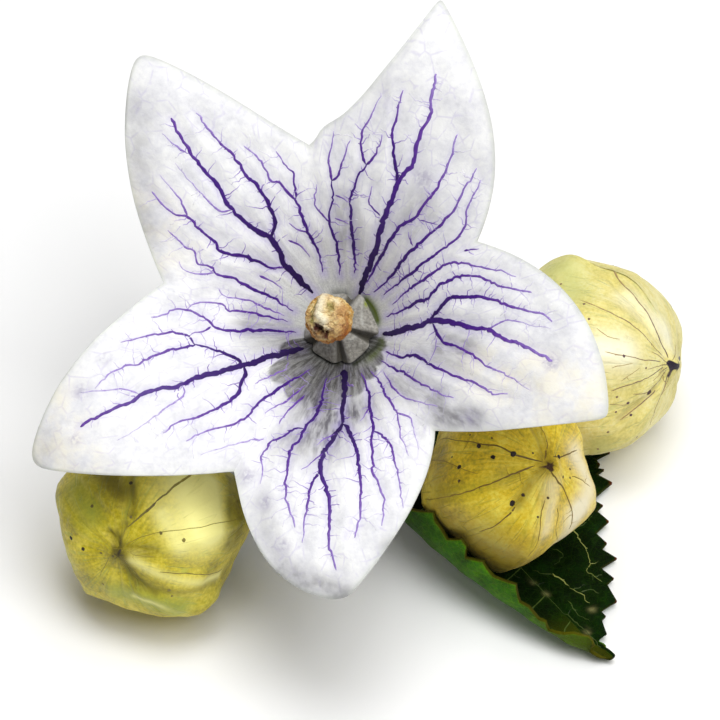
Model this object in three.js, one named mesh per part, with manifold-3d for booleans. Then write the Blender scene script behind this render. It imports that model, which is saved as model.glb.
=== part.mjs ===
// A cut flowering tip of a dwarf white balloon flower: one open bloom, three
// closed balloon buds and one toothed leaf on a short stem, laid on a table.
// Millimetres, +Z up. The table is at Z = 0, and the finished group has its
// origin below the middle of its footprint.

import * as THREE from 'three';
import { mergeVertices } from 'three/addons/utils/BufferGeometryUtils.js';
import Module from 'manifold-3d';

// The bowl of the open bloom, in its own frame: origin at the bottom of the
// bowl, +Z along the flower's axis, angles round that axis.
const bowlDepth = 15;
const bowlSpread = 9;
const throatRound = 3;
const throatRadius = 3.2;
const petalThickness = 0.7;

// How far the petals leave the plain bowl: down in the folds below the
// notches, which deepen up to foldLimit times the notch's reach, and down at
// the tips, from the share recurveFrom of the lobe's reach on.
const sinusDrop = 1.1;
const foldLimit = 1.2;
const throatFold = 13;
const tipRecurve = 1.3;
const recurveFrom = 0.72;

// The five lobes, counted round the axis. Each has its tip, the notch after
// it, and how far its two edges bulge out, near the notch and near the tip.
const lobes = [
  { tipAngle: -20.4, reach: 24.4, blunt: 0.4, before: [0.3, 0.2], after: [1.7, 1.9],
    notchAngle: 25.6, notchReach: 13.6 },
  { tipAngle: 68.0, reach: 26.1, blunt: 0.2, before: [2.0, 1.0], after: [-0.5, -0.4],
    notchAngle: 95.7, notchReach: 14.1 },
  { tipAngle: 125.2, reach: 25.8, blunt: 0.5, before: [0.0, 0.3], after: [0.8, 0.9],
    notchAngle: 167.2, notchReach: 13.7 },
  { tipAngle: 206.5, reach: 25.5, blunt: 0.6, before: [0.7, 1.0], after: [0.3, 0.4],
    notchAngle: 239.0, notchReach: 14.5 },
  { tipAngle: 273.5, reach: 22.9, blunt: 0.8, before: [0.8, 1.5], after: [1.0, 0.6],
    notchAngle: 313.3, notchReach: 12.8 },
];
const edgeSteps = 6;
const petalRings = [0.12, 0.25, 0.38, 0.52, 0.66, 0.8, 0.91, 1];

// The dome of five swollen filament bases, and the style with its knob.
const domeRadius = 2.7;
const domeTop = 4.0;
const domeGap = 0.45;
const domeRim = 0.3;
const grooveDepth = 0.1;
const grooveSharpness = 40;
const columnRadius = 0.75;
const knobRadius = 2.1;
const knobHeight = 8.1;
const knobDent = 0.13;

// The calyx under a bloom or bud: a green cone with five sepals.
const pieceGap = 0.36;
const calyxTopRadius = 2.4;
const calyxStalkRadius = 1.1;
const sepalThickness = 0.7;
const sepalNotch = 0.6;
const sepalPointedness = 1.6;
const bloomSepalReach = 7.5;
const budSepalReach = 5.6;

// Where the bloom and the buds sit. A bud is placed by the middle of its
// widest ring, and its axis points from its stalk to its tip.
const bloomPlace = { centre: [-1.29, -12.27, 18.36], axis: [-0.153, -0.543, 0.826], calyx: 3.6 };
const buds = {
  bud_left: { centre: [-16.9, -24.2, 7.55], axis: [-0.377, -0.796, 0.474],
    radius: 8.1, rise: 7.0, depth: 7.2, calyx: 3.0, turn: 12, color: 0xb9bb4e },
  bud_low: { centre: [12.2, -20.9, 9.2], axis: [0.471, -0.391, 0.791],
    radius: 7.6, rise: 6.8, depth: 5.6, calyx: 1.8, turn: -18, color: 0xcfc062 },
  bud_right: { centre: [19.9, -6.6, 8.5], axis: [0.907, -0.347, 0.24],
    radius: 9.0, rise: 7.4, depth: 7.2, calyx: 3.0, turn: 20, color: 0xd9d27e },
};
const budSquareness = 0.86;
const budCorner = 0.12;
const cornerSharpness = 1.3;
const budNipple = 0.7;
const nippleRadius = 1.1;
const budColumns = 40;
const budTilts = [7, 15, 25, 37, 50, 64, 78, 92, 106, 120, 134, 148, 160, 170];

// The stem, its node, which the flower stalks and the leaf spring from, and
// the stalks.
const stemNode = [0.8, -2.4, 3.4];
const nodeRadius = 1.9;
const stemRadius = 1.5;
const stemRoute = [[0.8, -3.4, 3.6], [1.0, 3.0, 2.6], [0.8, 10.0, 1.4], [-0.6, 18.0, 1.3]];
const stalkRadius = 0.85;
const stalkBend = 3.0;
const stemSides = 8;

// The leaf: its midrib, how wide its two sides are, and how they rise.
const leafBase = [1.1, -5.0, 1.5];
const leafTip = [21.0, -33.8, 0.8];
const leafLeft = { half: 13.0, shift: 0.75, fullness: 0.9 };
const leafRight = { half: 10.6, shift: 1.0, fullness: 1.4 };
const leafThickness = 0.6;
const leafCurl = 1.6;
const leafSag = 0.45;
const leafRise = 0.2;
const leafWave = { height: 0.25, turns: 21, start: 1.2 };
const leafEdge = 0.3;
const veinLead = 0.14;
const teethPerSide = 20;
const toothDepth = 1.0;
const firstTooth = 0.3;

const colors = {
  petal: 0xf2f0f4, filaments: 0x9aa39a, style: 0xe8d8a0, stalk: 0x5f7a34, stem: 0x6d8a3c,
  leaf: 0x1f4a17,
};
const toRadians = Math.PI / 180;

const wasm = await Module();
wasm.setup();

function unitVector([x, y, z]) {
  return new THREE.Vector3(x, y, z).normalize();
}

// The way from a bloom's or bud's own frame to the part's. Its Z runs along
// the axis and its X lies as near the part's own X as it can, so that angles
// round the axis start on the right.
function placement(place) {
  const up = unitVector(place.axis);
  const side = new THREE.Vector3(1, 0, 0).addScaledVector(up, -up.x).normalize();
  const across = new THREE.Vector3().crossVectors(up, side);
  return new THREE.Matrix4().makeBasis(side, across, up).setPosition(...place.centre);
}

function geometryFrom(points, faces) {
  const geometry = new THREE.BufferGeometry();
  const positions = points.flatMap((point) => [point.x, point.y, point.z]);
  geometry.setAttribute('position', new THREE.Float32BufferAttribute(positions, 3));
  geometry.setIndex(faces);
  geometry.computeVertexNormals();
  return geometry;
}

// A closed solid from rings of points, listed from a top point to a bottom
// point, each ring running anticlockwise as seen from the top. From the ring
// flipFrom on, the quads are split along their other diagonal, so that a thin
// sheet is split alike on its two faces.
function ringSolid(topPoint, rings, bottomPoint, flipFrom = rings.length) {
  const count = rings[0].length;
  const points = [topPoint, ...rings.flat(), bottomPoint];
  const last = points.length - 1;
  const at = (ring, column) => 1 + ring * count + (column % count);
  const faces = [];
  for (let column = 0; column < count; column += 1) {
    faces.push(0, at(0, column), at(0, column + 1));
    faces.push(last, at(rings.length - 1, column + 1), at(rings.length - 1, column));
    for (let ring = 0; ring + 1 < rings.length; ring += 1) {
      const a = at(ring, column);
      const b = at(ring + 1, column);
      const c = at(ring + 1, column + 1);
      const d = at(ring, column + 1);
      if (ring < flipFrom) {
        faces.push(a, b, c, a, c, d);
      } else {
        faces.push(a, b, d, b, c, d);
      }
    }
  }
  return geometryFrom(points, faces);
}

// A closed thin solid between two grids of points of the same size.
function sheetSolid(top, bottom) {
  const rows = top.length;
  const columns = top[0].length;
  const points = [...top.flat(), ...bottom.flat()];
  const at = (row, column) => row * columns + column;
  const under = (row, column) => rows * columns + at(row, column);
  const faces = [];
  for (let row = 0; row + 1 < rows; row += 1) {
    for (let column = 0; column + 1 < columns; column += 1) {
      faces.push(at(row, column), at(row + 1, column), at(row + 1, column + 1));
      faces.push(at(row, column), at(row + 1, column + 1), at(row, column + 1));
      faces.push(under(row, column), under(row + 1, column + 1), under(row + 1, column));
      faces.push(under(row, column), under(row, column + 1), under(row + 1, column + 1));
    }
  }
  const steps = (count) => Array.from({ length: count - 1 }, (_, index) => index);
  const border = [
    ...steps(rows).map((row) => [row, 0]),
    ...steps(columns).map((column) => [rows - 1, column]),
    ...steps(rows).map((row) => [rows - 1 - row, columns - 1]),
    ...steps(columns).map((column) => [0, columns - 1 - column]),
  ];
  border.forEach(([row, column], index) => {
    const [nextRow, nextColumn] = border[(index + 1) % border.length];
    faces.push(at(row, column), under(row, column), under(nextRow, nextColumn));
    faces.push(at(row, column), under(nextRow, nextColumn), at(nextRow, nextColumn));
  });
  return geometryFrom(points, faces);
}

function namedMesh(name, geometry, color, roughness) {
  const material = new THREE.MeshStandardMaterial({ color, roughness, metalness: 0 });
  const mesh = new THREE.Mesh(geometry, material);
  mesh.name = name;
  return mesh;
}

// The bowl's height above its lowest point, at a distance from the axis.
function bowlHeight(radius) {
  const along = Math.hypot(radius, throatRound) - throatRound;
  return bowlDepth * (1 - Math.exp(-along / bowlSpread));
}

// The height of a surface of revolution moved down by a true distance.
function loweredHeight(heightAt, radius, distance) {
  const step = 0.01;
  const slope = (heightAt(radius + step) - heightAt(Math.max(radius - step, 0))) / (2 * step);
  return heightAt(radius) - distance * Math.hypot(1, slope);
}

function polar(radius, angle) {
  return new THREE.Vector2(radius * Math.cos(angle), radius * Math.sin(angle));
}

// A point along a lobe's edge, from its notch (t = 0) to its tip (t = 1). The
// bulges push it sideways, away from the lobe's middle. Each acts most a third
// of the way from its own end, where t (1 - t) (1 - t) peaks at 4 / 27.
function edgePoint(notch, tip, sideways, bulges, t) {
  const push = (27 / 4) * t * (1 - t) * ((1 - t) * bulges[0] + t * bulges[1]);
  return notch.clone().lerp(tip, t).addScaledVector(sideways, push);
}

// The bloom's outline as columns anticlockwise round the axis: where each
// column ends, its lobe, and how far from the lobe's middle (0) it lies
// towards a notch (1).
function bloomColumns() {
  const columns = [];
  lobes.forEach((lobe, index) => {
    const previous = lobes[(index + lobes.length - 1) % lobes.length];
    const tipAngle = lobe.tipAngle * toRadians;
    const tip = polar(lobe.reach, tipAngle);
    const sideways = polar(1, tipAngle + Math.PI / 2);
    const half = sideways.clone().multiplyScalar(lobe.blunt);
    const edges = [
      { notch: polar(previous.notchReach, previous.notchAngle * toRadians),
        corner: tip.clone().sub(half), bulges: lobe.before, sign: -1 },
      { notch: polar(lobe.notchReach, lobe.notchAngle * toRadians),
        corner: tip.clone().add(half), bulges: lobe.after, sign: 1 },
    ];
    edges.forEach(({ notch, corner, bulges, sign }) => {
      const along = corner.clone().sub(notch).normalize();
      const outward = new THREE.Vector2(-along.y, along.x);
      if (outward.dot(sideways) * sign < 0) {
        outward.negate();
      }
      const count = sign < 0 ? edgeSteps + 1 : edgeSteps;
      for (let step = 0; step < count; step += 1) {
        const t = sign < 0 ? step / edgeSteps : 1 - step / edgeSteps;
        columns.push({ end: edgePoint(notch, corner, outward, bulges, t), lobe, across: 1 - t });
      }
    });
  });
  return columns;
}

// How far the petals lie below the plain bowl: least along the middle of a
// lobe, most in the folds below the notches and at the tips.
function petalDrop(radius, column) {
  const fold = (column.across * Math.min(radius / column.lobe.notchReach, foldLimit)) ** 2;
  const past = Math.max(radius / column.lobe.reach - recurveFrom, 0) / (1 - recurveFrom);
  return sinusDrop * fold + tipRecurve * past ** 2;
}

function petalPoint(column, radius, thickness) {
  const height = loweredHeight(bowlHeight, radius, thickness) - petalDrop(radius, column);
  const flat = column.end.clone().setLength(radius);
  return new THREE.Vector3(flat.x, flat.y, height);
}

function corolla() {
  const columns = bloomColumns();
  const radiiAt = [
    () => throatRadius / 2,
    () => throatRadius,
    ...petalRings.map((share) => (end) => throatRadius + (end - throatRadius) * share),
  ];
  const ringAt = (radiusAt, thickness) => columns.map(
    (column) => petalPoint(column, radiusAt(column.end.length()), thickness),
  );
  const upper = radiiAt.map((radiusAt) => ringAt(radiusAt, 0));
  const lower = radiiAt.map((radiusAt) => ringAt(radiusAt, petalThickness)).reverse();
  const geometry = ringSolid(
    new THREE.Vector3(0, 0, 0),
    [...upper, ...lower],
    new THREE.Vector3(0, 0, -petalThickness),
    upper.length,
  );
  return namedMesh('bloom_corolla', geometry, colors.petal, 0.55);
}

// Five swollen filament bases that close over the throat as a dome, with a
// groove between each two, in line with the middles of the lobes.
function filamentDome() {
  const count = 40;
  const shares = [0.25, 0.5, 0.72, 0.88, 1];
  const grooveAt = (angle) => Math.max(
    ...lobes.map((lobe) => Math.cos(angle - lobe.tipAngle * toRadians)),
  ) ** grooveSharpness;
  const ring = (share, heightAt) => Array.from({ length: count }, (_, column) => {
    const angle = (column / count) * 2 * Math.PI;
    const radius = share * domeRadius * (1 - grooveDepth * grooveAt(angle));
    const flat = polar(radius, angle);
    return new THREE.Vector3(flat.x, flat.y, heightAt(radius, angle));
  });
  const seat = (radius) => loweredHeight(bowlHeight, radius, -domeGap);
  const rim = seat(domeRadius) + domeRim;
  const crown = (radius, angle) => {
    const share = Math.min(radius / domeRadius, 1);
    const rise = (domeTop - rim) * Math.sqrt(1 - share ** 2);
    return rim + rise * (1 - 3 * grooveDepth * share * grooveAt(angle));
  };
  const geometry = ringSolid(
    new THREE.Vector3(0, 0, domeTop),
    [...shares.map((share) => ring(share, crown)), ...[1, 0.5].map((share) => ring(share, seat))],
    new THREE.Vector3(0, 0, seat(0)),
  );
  return namedMesh('bloom_filaments', geometry, colors.filaments, 0.75);
}

// The style: a slim column that ends in a knob of closed stigma lobes.
function style() {
  const count = 25;
  const foot = domeTop + pieceGap;
  const ring = (radius, height, dent) => Array.from({ length: count }, (_, column) => {
    const angle = (column / count) * 2 * Math.PI;
    const flat = polar(radius * (1 - dent * Math.abs(Math.cos(2.5 * angle)) ** 6), angle);
    return new THREE.Vector3(flat.x, flat.y, height);
  });
  const knobRings = [20, 42, 66, 90, 114, 138].map((degrees) => {
    const tilt = degrees * toRadians;
    const height = knobHeight + knobRadius * Math.cos(tilt);
    return ring(knobRadius * Math.sin(tilt), height, knobDent);
  });
  const neck = knobHeight - 1.15 * knobRadius;
  const columnRings = [neck, foot].map((height) => ring(columnRadius, height, 0));
  const geometry = ringSolid(
    new THREE.Vector3(0, 0, knobHeight + (1 - knobDent) * knobRadius),
    [...knobRings, ...columnRings],
    new THREE.Vector3(0, 0, foot),
  );
  return namedMesh('bloom_style', geometry, colors.style, 0.7);
}

// A calyx: a cone on the stalk that opens into five pointed sepals, which lie
// close under the surface above them, one at each of the angles.
function calyx(sepalAngles, sepalReach, coneLength, heightAt) {
  const perSepal = 6;
  const directions = sepalAngles.flatMap((angle, index) => {
    const next = sepalAngles[(index + 1) % sepalAngles.length];
    const span = (next - angle + 720) % 360;
    return Array.from({ length: perSepal }, (_, step) => {
      const share = step / perSepal;
      const fromSepal = Math.min(share, 1 - share) * 2;
      const pointed = (1 - fromSepal) ** sepalPointedness;
      return { angle: (angle + span * share) * toRadians, pointed };
    });
  });
  const ring = (radiusAt, heightOf) => directions.map(({ angle, pointed }) => {
    const radius = radiusAt(pointed);
    const flat = polar(radius, angle);
    return new THREE.Vector3(flat.x, flat.y, heightOf(radius));
  });
  const upper = (radius) => loweredHeight(heightAt, radius, pieceGap);
  const lower = (radius) => loweredHeight(heightAt, radius, pieceGap + sepalThickness);
  const blade = (share) => (pointed) => {
    const reach = sepalNotch + (sepalReach - calyxTopRadius - sepalNotch) * pointed;
    return calyxTopRadius + reach * share;
  };
  const shares = [0.2, 0.6, 1];
  const inner = () => calyxTopRadius / 2;
  const coneRings = [0.4, 1].map((share) => ring(
    () => calyxTopRadius + (calyxStalkRadius - calyxTopRadius) * share,
    () => lower(0) - coneLength * share,
  ));
  return ringSolid(
    new THREE.Vector3(0, 0, upper(0)),
    [
      ring(inner, upper),
      ...shares.map((share) => ring(blade(share), upper)),
      ...shares.toReversed().map((share) => ring(blade(share), lower)),
      ...coneRings,
    ],
    new THREE.Vector3(0, 0, lower(0) - coneLength),
    shares.length + 1,
  );
}

// How far a bud's side lies from its axis, as a share of its corner radius:
// the pinched petal seams are its five corners, with rounded faces between.
function budSide(angle) {
  return 1 - budCorner * Math.abs(Math.sin(2.5 * angle)) ** cornerSharpness;
}

// A bud's surface: tilt runs from its tip (0) to its stalk (180 degrees).
function budPoint(bud, tilt, angle) {
  const radius = bud.radius * budSide(angle) * Math.sin(tilt) ** budSquareness;
  const level = Math.abs(Math.cos(tilt)) ** budSquareness;
  const nipple = budNipple * Math.exp(-((radius / nippleRadius) ** 2));
  const height = Math.cos(tilt) > 0 ? bud.rise * level + nipple : -bud.depth * level;
  const flat = polar(radius, angle + bud.turn * toRadians);
  return new THREE.Vector3(flat.x, flat.y, height);
}

// The level of a bud's underside along its seams, which lie lowest.
function budUnderside(bud, radius) {
  const sine = (Math.abs(radius) / bud.radius) ** (1 / budSquareness);
  return -bud.depth * (1 - sine ** 2) ** (budSquareness / 2);
}

function budBalloon(name, bud) {
  const rings = budTilts.map((tilt) => Array.from({ length: budColumns }, (_, column) => (
    budPoint(bud, tilt * toRadians, (column / budColumns) * 2 * Math.PI)
  )));
  const tip = new THREE.Vector3(0, 0, bud.rise + budNipple);
  const geometry = ringSolid(tip, rings, new THREE.Vector3(0, 0, -bud.depth));
  return namedMesh(name, geometry, bud.color, 0.5);
}

// Flattens what would reach below the table, so that the piece lies on a
// small flat spot.
function settleOnTable(geometry) {
  const corners = geometry.getAttribute('position');
  for (let index = 0; index < corners.count; index += 1) {
    corners.setZ(index, Math.max(corners.getZ(index), 0));
  }
  return geometry;
}

// A tube with flats, not edges, at its top and bottom.
function tube(points, radius, steps) {
  const start = Math.PI / stemSides;
  const outline = new THREE.Shape().absarc(0, 0, radius, start, start + 2 * Math.PI);
  return new THREE.ExtrudeGeometry(outline, {
    extrudePath: new THREE.CatmullRomCurve3(points),
    steps,
    curveSegments: stemSides / 2,
  });
}

function toSolid(geometry) {
  const bare = geometry.clone();
  bare.deleteAttribute('normal');
  bare.deleteAttribute('uv');
  const merged = mergeVertices(bare, 1e-4);
  const vertProperties = new Float32Array(merged.getAttribute('position').array);
  const triVerts = new Uint32Array(merged.getIndex().array);
  return new wasm.Manifold(new wasm.Mesh({ numProp: 3, vertProperties, triVerts }));
}

function fromSolid(solid) {
  const { vertProperties, triVerts } = solid.getMesh();
  const geometry = new THREE.BufferGeometry();
  geometry.setAttribute('position', new THREE.BufferAttribute(vertProperties, 3));
  geometry.setIndex(new THREE.BufferAttribute(triVerts, 1));
  geometry.computeVertexNormals();
  return geometry;
}

// A calyx grown together with its stalk, which runs from inside the cone to
// just short of the stem's node and never dips below where it leaves the cone.
function calyxWithStalk(name, place, cone, depth) {
  const axis = unitVector(place.axis);
  const node = new THREE.Vector3(...stemNode);
  const below = (distance) => (
    new THREE.Vector3(...place.centre).addScaledVector(axis, -distance)
  );
  const coneTop = depth + pieceGap + sepalThickness;
  const end = below(coneTop + place.calyx);
  const bend = below(coneTop + place.calyx + stalkBend);
  bend.z = Math.max(bend.z, end.z);
  const stop = bend.clone().sub(node).setLength(nodeRadius + pieceGap).add(node);
  const stalk = tube([below(coneTop + place.calyx / 2), end, bend, stop], stalkRadius, 8);
  const calyxSolid = toSolid(settleOnTable(cone.applyMatrix4(placement(place))));
  return namedMesh(name, fromSolid(calyxSolid.add(toSolid(stalk))), colors.stalk, 0.6);
}

function placedMesh(mesh, place) {
  settleOnTable(mesh.geometry.applyMatrix4(placement(place)));
  return mesh;
}

function bloom() {
  const sepalAngles = lobes.map((lobe) => lobe.notchAngle);
  const cone = calyx(sepalAngles, bloomSepalReach, bloomPlace.calyx, (radius) => (
    loweredHeight(bowlHeight, radius, petalThickness) - sinusDrop * (radius / throatFold) ** 2
  ));
  return [
    ...[corolla(), filamentDome(), style()].map((mesh) => placedMesh(mesh, bloomPlace)),
    calyxWithStalk('bloom_stalk', bloomPlace, cone, petalThickness),
  ];
}

function budWithStalk([name, bud]) {
  const sepalAngles = [0, 72, 144, 216, 288].map((angle) => angle + bud.turn);
  const cone = calyx(sepalAngles, budSepalReach, bud.calyx, (radius) => (
    budUnderside(bud, radius)
  ));
  return [
    placedMesh(budBalloon(name, bud), bud),
    calyxWithStalk(`${name}_stalk`, bud, cone, bud.depth),
  ];
}

// The stem, cut off at its far end, with its swollen node.
function stem() {
  const node = new THREE.SphereGeometry(nodeRadius, 16, 10).translate(...stemNode);
  const shaft = tube(stemRoute.map((point) => new THREE.Vector3(...point)), stemRadius, 14);
  const geometry = settleOnTable(fromSolid(toSolid(shaft).add(toSolid(node))));
  return namedMesh('stem', geometry, colors.stem, 0.6);
}

// How wide one side of the leaf is at a share of its length, without teeth.
function leafReach(side, share) {
  const along = Math.min(Math.max(share, 0), 1);
  return side.half * Math.max(Math.sin(Math.PI * along ** side.shift), 0) ** side.fullness;
}

// A point of the leaf's upper face, from the share of its length and the
// distance along the blade from its midrib. Its left side (below zero) curls
// up and round the low bud, and its right side lies nearly flat.
function leafPoint(share, sideways) {
  const base = new THREE.Vector3(...leafBase);
  const tip = new THREE.Vector3(...leafTip);
  const along = tip.clone().sub(base).setZ(0).normalize();
  const right = new THREE.Vector3(-along.y, along.x, 0);
  const point = base.lerp(tip, share);
  const sag = leafSag * Math.sin(Math.PI * Math.min(share, 1));
  if (sideways < 0) {
    const curl = Math.max(leafReach(leafLeft, share), 1) / leafCurl;
    const turn = -sideways / curl;
    point.addScaledVector(right, -curl * Math.sin(turn));
    point.z += curl * (1 - Math.cos(turn)) - sag;
  } else {
    const outward = (sideways / leafRight.half) ** 2;
    const wave = leafWave.height * Math.sin(share * leafWave.turns + leafWave.start);
    point.addScaledVector(right, sideways);
    point.z += (leafRise + wave) * outward - sag;
  }
  return point;
}

function leafNormal(share, sideways) {
  const step = 0.01;
  const lengthways = leafPoint(share + step, sideways).sub(leafPoint(share - step, sideways));
  const crossways = leafPoint(share, sideways + step).sub(leafPoint(share, sideways - step));
  return lengthways.cross(crossways).normalize();
}

// The leaf's rows run from the midrib forward to the margin, three to a tooth:
// its notch, its back and its point.
function leaf() {
  const toothRows = [[0, 0], [0.5, 0.6], [0.88, 1]];
  const shares = [-1, -0.8, -0.6, -0.4, -0.2, 0, 0.34, 0.67, 1];
  const rows = [];
  for (let tooth = 0; tooth < teethPerSide; tooth += 1) {
    toothRows.forEach(([share, out]) => {
      rows.push({ margin: (tooth + share + firstTooth) / (teethPerSide + firstTooth), out });
    });
  }
  rows.push({ margin: 0.997, out: 0 });
  const places = rows.map(({ margin, out }) => shares.map((across) => {
    const fade = Math.sqrt(Math.sin(Math.PI * margin));
    const side = across < 0 ? leafLeft : leafRight;
    const reach = leafReach(side, margin) + toothDepth * fade * (out - 0.5) + leafEdge;
    const lead = veinLead * Math.sin(Math.PI * margin) * (1 - Math.abs(across));
    return { share: margin - lead, sideways: across * reach };
  }));
  const top = places.map((row) => row.map(({ share, sideways }) => leafPoint(share, sideways)));
  const bottom = places.map((row) => row.map(({ share, sideways }) => (
    leafPoint(share, sideways).addScaledVector(leafNormal(share, sideways), -leafThickness)
  )));
  return namedMesh('leaf', sheetSolid(top, bottom), colors.leaf, 0.5);
}

const flower = new THREE.Group();
flower.add(...bloom(), ...Object.entries(buds).flatMap(budWithStalk), stem(), leaf());

const footprint = new THREE.Box3().setFromObject(flower).getCenter(new THREE.Vector3());
flower.position.set(-footprint.x, -footprint.y, 0);

export default flower;
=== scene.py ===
import math
import random

import bpy
from mathutils import Matrix, Vector, noise
from mathutils.bvhtree import BVHTree
from mathutils.kdtree import KDTree


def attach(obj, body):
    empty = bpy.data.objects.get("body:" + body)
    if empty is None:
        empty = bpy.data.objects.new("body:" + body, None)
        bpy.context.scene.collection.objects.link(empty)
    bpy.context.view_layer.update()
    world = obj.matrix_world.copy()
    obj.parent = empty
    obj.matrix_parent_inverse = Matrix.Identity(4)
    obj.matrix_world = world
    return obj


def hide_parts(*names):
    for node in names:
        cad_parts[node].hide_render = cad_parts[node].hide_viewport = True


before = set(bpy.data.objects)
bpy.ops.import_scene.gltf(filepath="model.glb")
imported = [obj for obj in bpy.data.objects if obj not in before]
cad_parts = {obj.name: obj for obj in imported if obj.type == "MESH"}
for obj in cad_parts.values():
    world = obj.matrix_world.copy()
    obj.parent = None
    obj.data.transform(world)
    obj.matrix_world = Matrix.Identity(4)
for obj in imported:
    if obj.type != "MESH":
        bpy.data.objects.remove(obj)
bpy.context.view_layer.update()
print("frame loaded")

mm = 0.001
middle = Vector((-0.8816, 9.9142, 0.0))  # the layout's zero, seen from below the middle of the footprint
up = Vector((0, 0, 1))
dice = random.Random(7)

camera = {"away": 0.354, "elevation": 50, "lens": 200, "sensor": 36, "pixels": 720}


def smoothStep(low, high, value):
    share = min(max((value - low) / (high - low), 0.0), 1.0)
    return share * share * (3 - 2 * share)


def blend(low, high, share):
    return low + (high - low) * share


def polar(radius, degrees):
    turn = math.radians(degrees)
    return Vector((radius * math.cos(turn), radius * math.sin(turn)))


def curveThrough(points, step):
    # a smooth curve through the points, about one step apart
    ends = [points[0] * 2 - points[1]] + list(points) + [points[-1] * 2 - points[-2]]
    found = [points[0].copy()]
    for index in range(1, len(ends) - 2):
        before, here, there, after = ends[index - 1:index + 3]
        count = max(1, round((there - here).length / step))
        for part in range(1, count + 1):
            t = part / count
            found.append(0.5 * (2 * here + (there - before) * t
                                + (2 * before - 5 * here + 4 * there - after) * t ** 2
                                + (3 * here - before - 3 * there + after) * t ** 3))
    return found


def placement(place):
    # its Z runs along the axis and its X lies as near the part's own X as it can
    axis = Vector(place["axis"]).normalized()
    side = (Vector((1, 0, 0)) - axis * axis.x).normalized()
    across = axis.cross(side)
    turned = Matrix((side, across, axis)).transposed().to_4x4()
    return Matrix.Translation(Vector(place["centre"]) + middle) @ turned


def shapeBall(name, columns, rows, pointAt, place=Matrix.Translation(middle)):
    # a ball whose rings are laid along the piece's own rings, from its first point to its last
    bpy.ops.object.select_all(action="DESELECT")
    bpy.ops.mesh.primitive_uv_sphere_add(segments=columns, ring_count=rows, radius=1)
    piece = bpy.context.object
    piece.name = name
    for vertex in piece.data.vertices:
        row = round(math.acos(max(-1.0, min(1.0, vertex.co.z))) / math.pi * rows)
        column = round(math.atan2(vertex.co.y, vertex.co.x) / math.tau * columns) % columns
        vertex.co = (place @ pointAt(row, column)) * mm
    piece.data.update()
    bpy.ops.object.shade_smooth()
    return piece


def keep(piece, nodes=(), material=None):
    if material:
        piece.data.materials.clear()
        piece.data.materials.append(material)
    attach(piece, "root")
    if nodes:
        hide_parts(*nodes)
    print(piece.name, "made of", len(piece.data.polygons), "faces")
    return piece


def pickAlone(piece):
    bpy.ops.object.select_all(action="DESELECT")
    piece.select_set(True)
    bpy.context.view_layer.objects.active = piece


def stayAbove(piece, level):
    # nothing lies lower than this level in mm
    for vertex in piece.data.vertices:
        vertex.co.z = max(vertex.co.z, level * mm)


def skinOf(piece):
    corners = [vertex.co / mm for vertex in piece.data.vertices]
    return BVHTree.FromPolygons(corners, [tuple(face.vertices) for face in piece.data.polygons])


def sightLines():
    height = math.radians(camera["elevation"])
    ahead = Vector((0, math.cos(height), -math.sin(height)))
    over = Vector((0, math.sin(height), math.cos(height)))
    span = camera["lens"] / camera["sensor"] * camera["pixels"]
    return middle - ahead * camera["away"] / mm, ahead, over, span, camera["pixels"] / 2


def photoRay(x, y):
    # the way from the camera through a picture point
    eye, ahead, over, span, half = sightLines()
    return eye, (ahead * span + Vector((x - half, 0, 0)) + over * (half - y)).normalized()


def pictureOf(spot):
    # the picture point where a point of the model is seen
    eye, ahead, over, span, half = sightLines()
    away = spot - eye
    depth = away.dot(ahead)
    return Vector((half + span * away.x / depth, half - span * away.dot(over) / depth))


def seenAt(skin, route):
    # the points of a surface that lie under picture points
    spots = [skin.ray_cast(*photoRay(*stop))[0] for stop in route]
    return [spot for spot in spots if spot]


def softMarks(skin, marks):
    # marks: reach in mm, strength, and picture points. Gives the strength at any spot
    fields = []
    for reach, strength, route in marks:
        stops = seenAt(skin, route)
        line = curveThrough(stops, 0.2) if len(stops) > 1 else stops
        tree = KDTree(len(line))
        for index, spot in enumerate(line):
            tree.insert(spot, index)
        tree.balance()
        if line:
            fields.append((tree, reach, strength))

    def strengthAt(spot):
        total = 0.0
        for tree, reach, strength in fields:
            away = tree.find(spot)[2] / reach
            if away < 2.6:
                total += strength * math.exp(-away * away)
        return total

    return strengthAt


def pushSurface(piece, depthAt):
    # raises folds and sinks creases along the normals
    normals = [vertex.normal.copy() for vertex in piece.data.vertices]
    for vertex, normal in zip(piece.data.vertices, normals):
        vertex.co = vertex.co + normal * depthAt(vertex.co / mm) * mm
    piece.data.update()


def writeColours(piece, name, values):
    layer = piece.data.attributes.new(name, "FLOAT_COLOR", "POINT")
    layer.data.foreach_set("color", [number for value in values for number in (*value, 1.0)])


def writeVectors(piece, name, values):
    layer = piece.data.attributes.new(name, "FLOAT_VECTOR", "POINT")
    layer.data.foreach_set("vector", [number for value in values for number in value])


def tone(code):
    # a colour code as the shader's own numbers
    shares = [int(code[start:start + 2], 16) / 255 for start in (0, 2, 4)]
    linear = [s / 12.92 if s <= 0.04045 else ((s + 0.055) / 1.055) ** 2.4 for s in shares]
    return (*linear, 1.0)


class Value:
    # a socket that maths can be written with
    def __init__(self, paint, socket):
        self.paint = paint
        self.socket = socket

    def maths(self, operation, first, second):
        return self.paint.node("Math", {"operation": operation}, {0: first, 1: second})

    def __add__(self, other):
        return self.maths("ADD", self, other)

    def __radd__(self, other):
        return self.maths("ADD", other, self)

    def __sub__(self, other):
        return self.maths("SUBTRACT", self, other)

    def __rsub__(self, other):
        return self.maths("SUBTRACT", other, self)

    def __mul__(self, other):
        return self.maths("MULTIPLY", self, other)

    def __rmul__(self, other):
        return self.maths("MULTIPLY", other, self)


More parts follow.
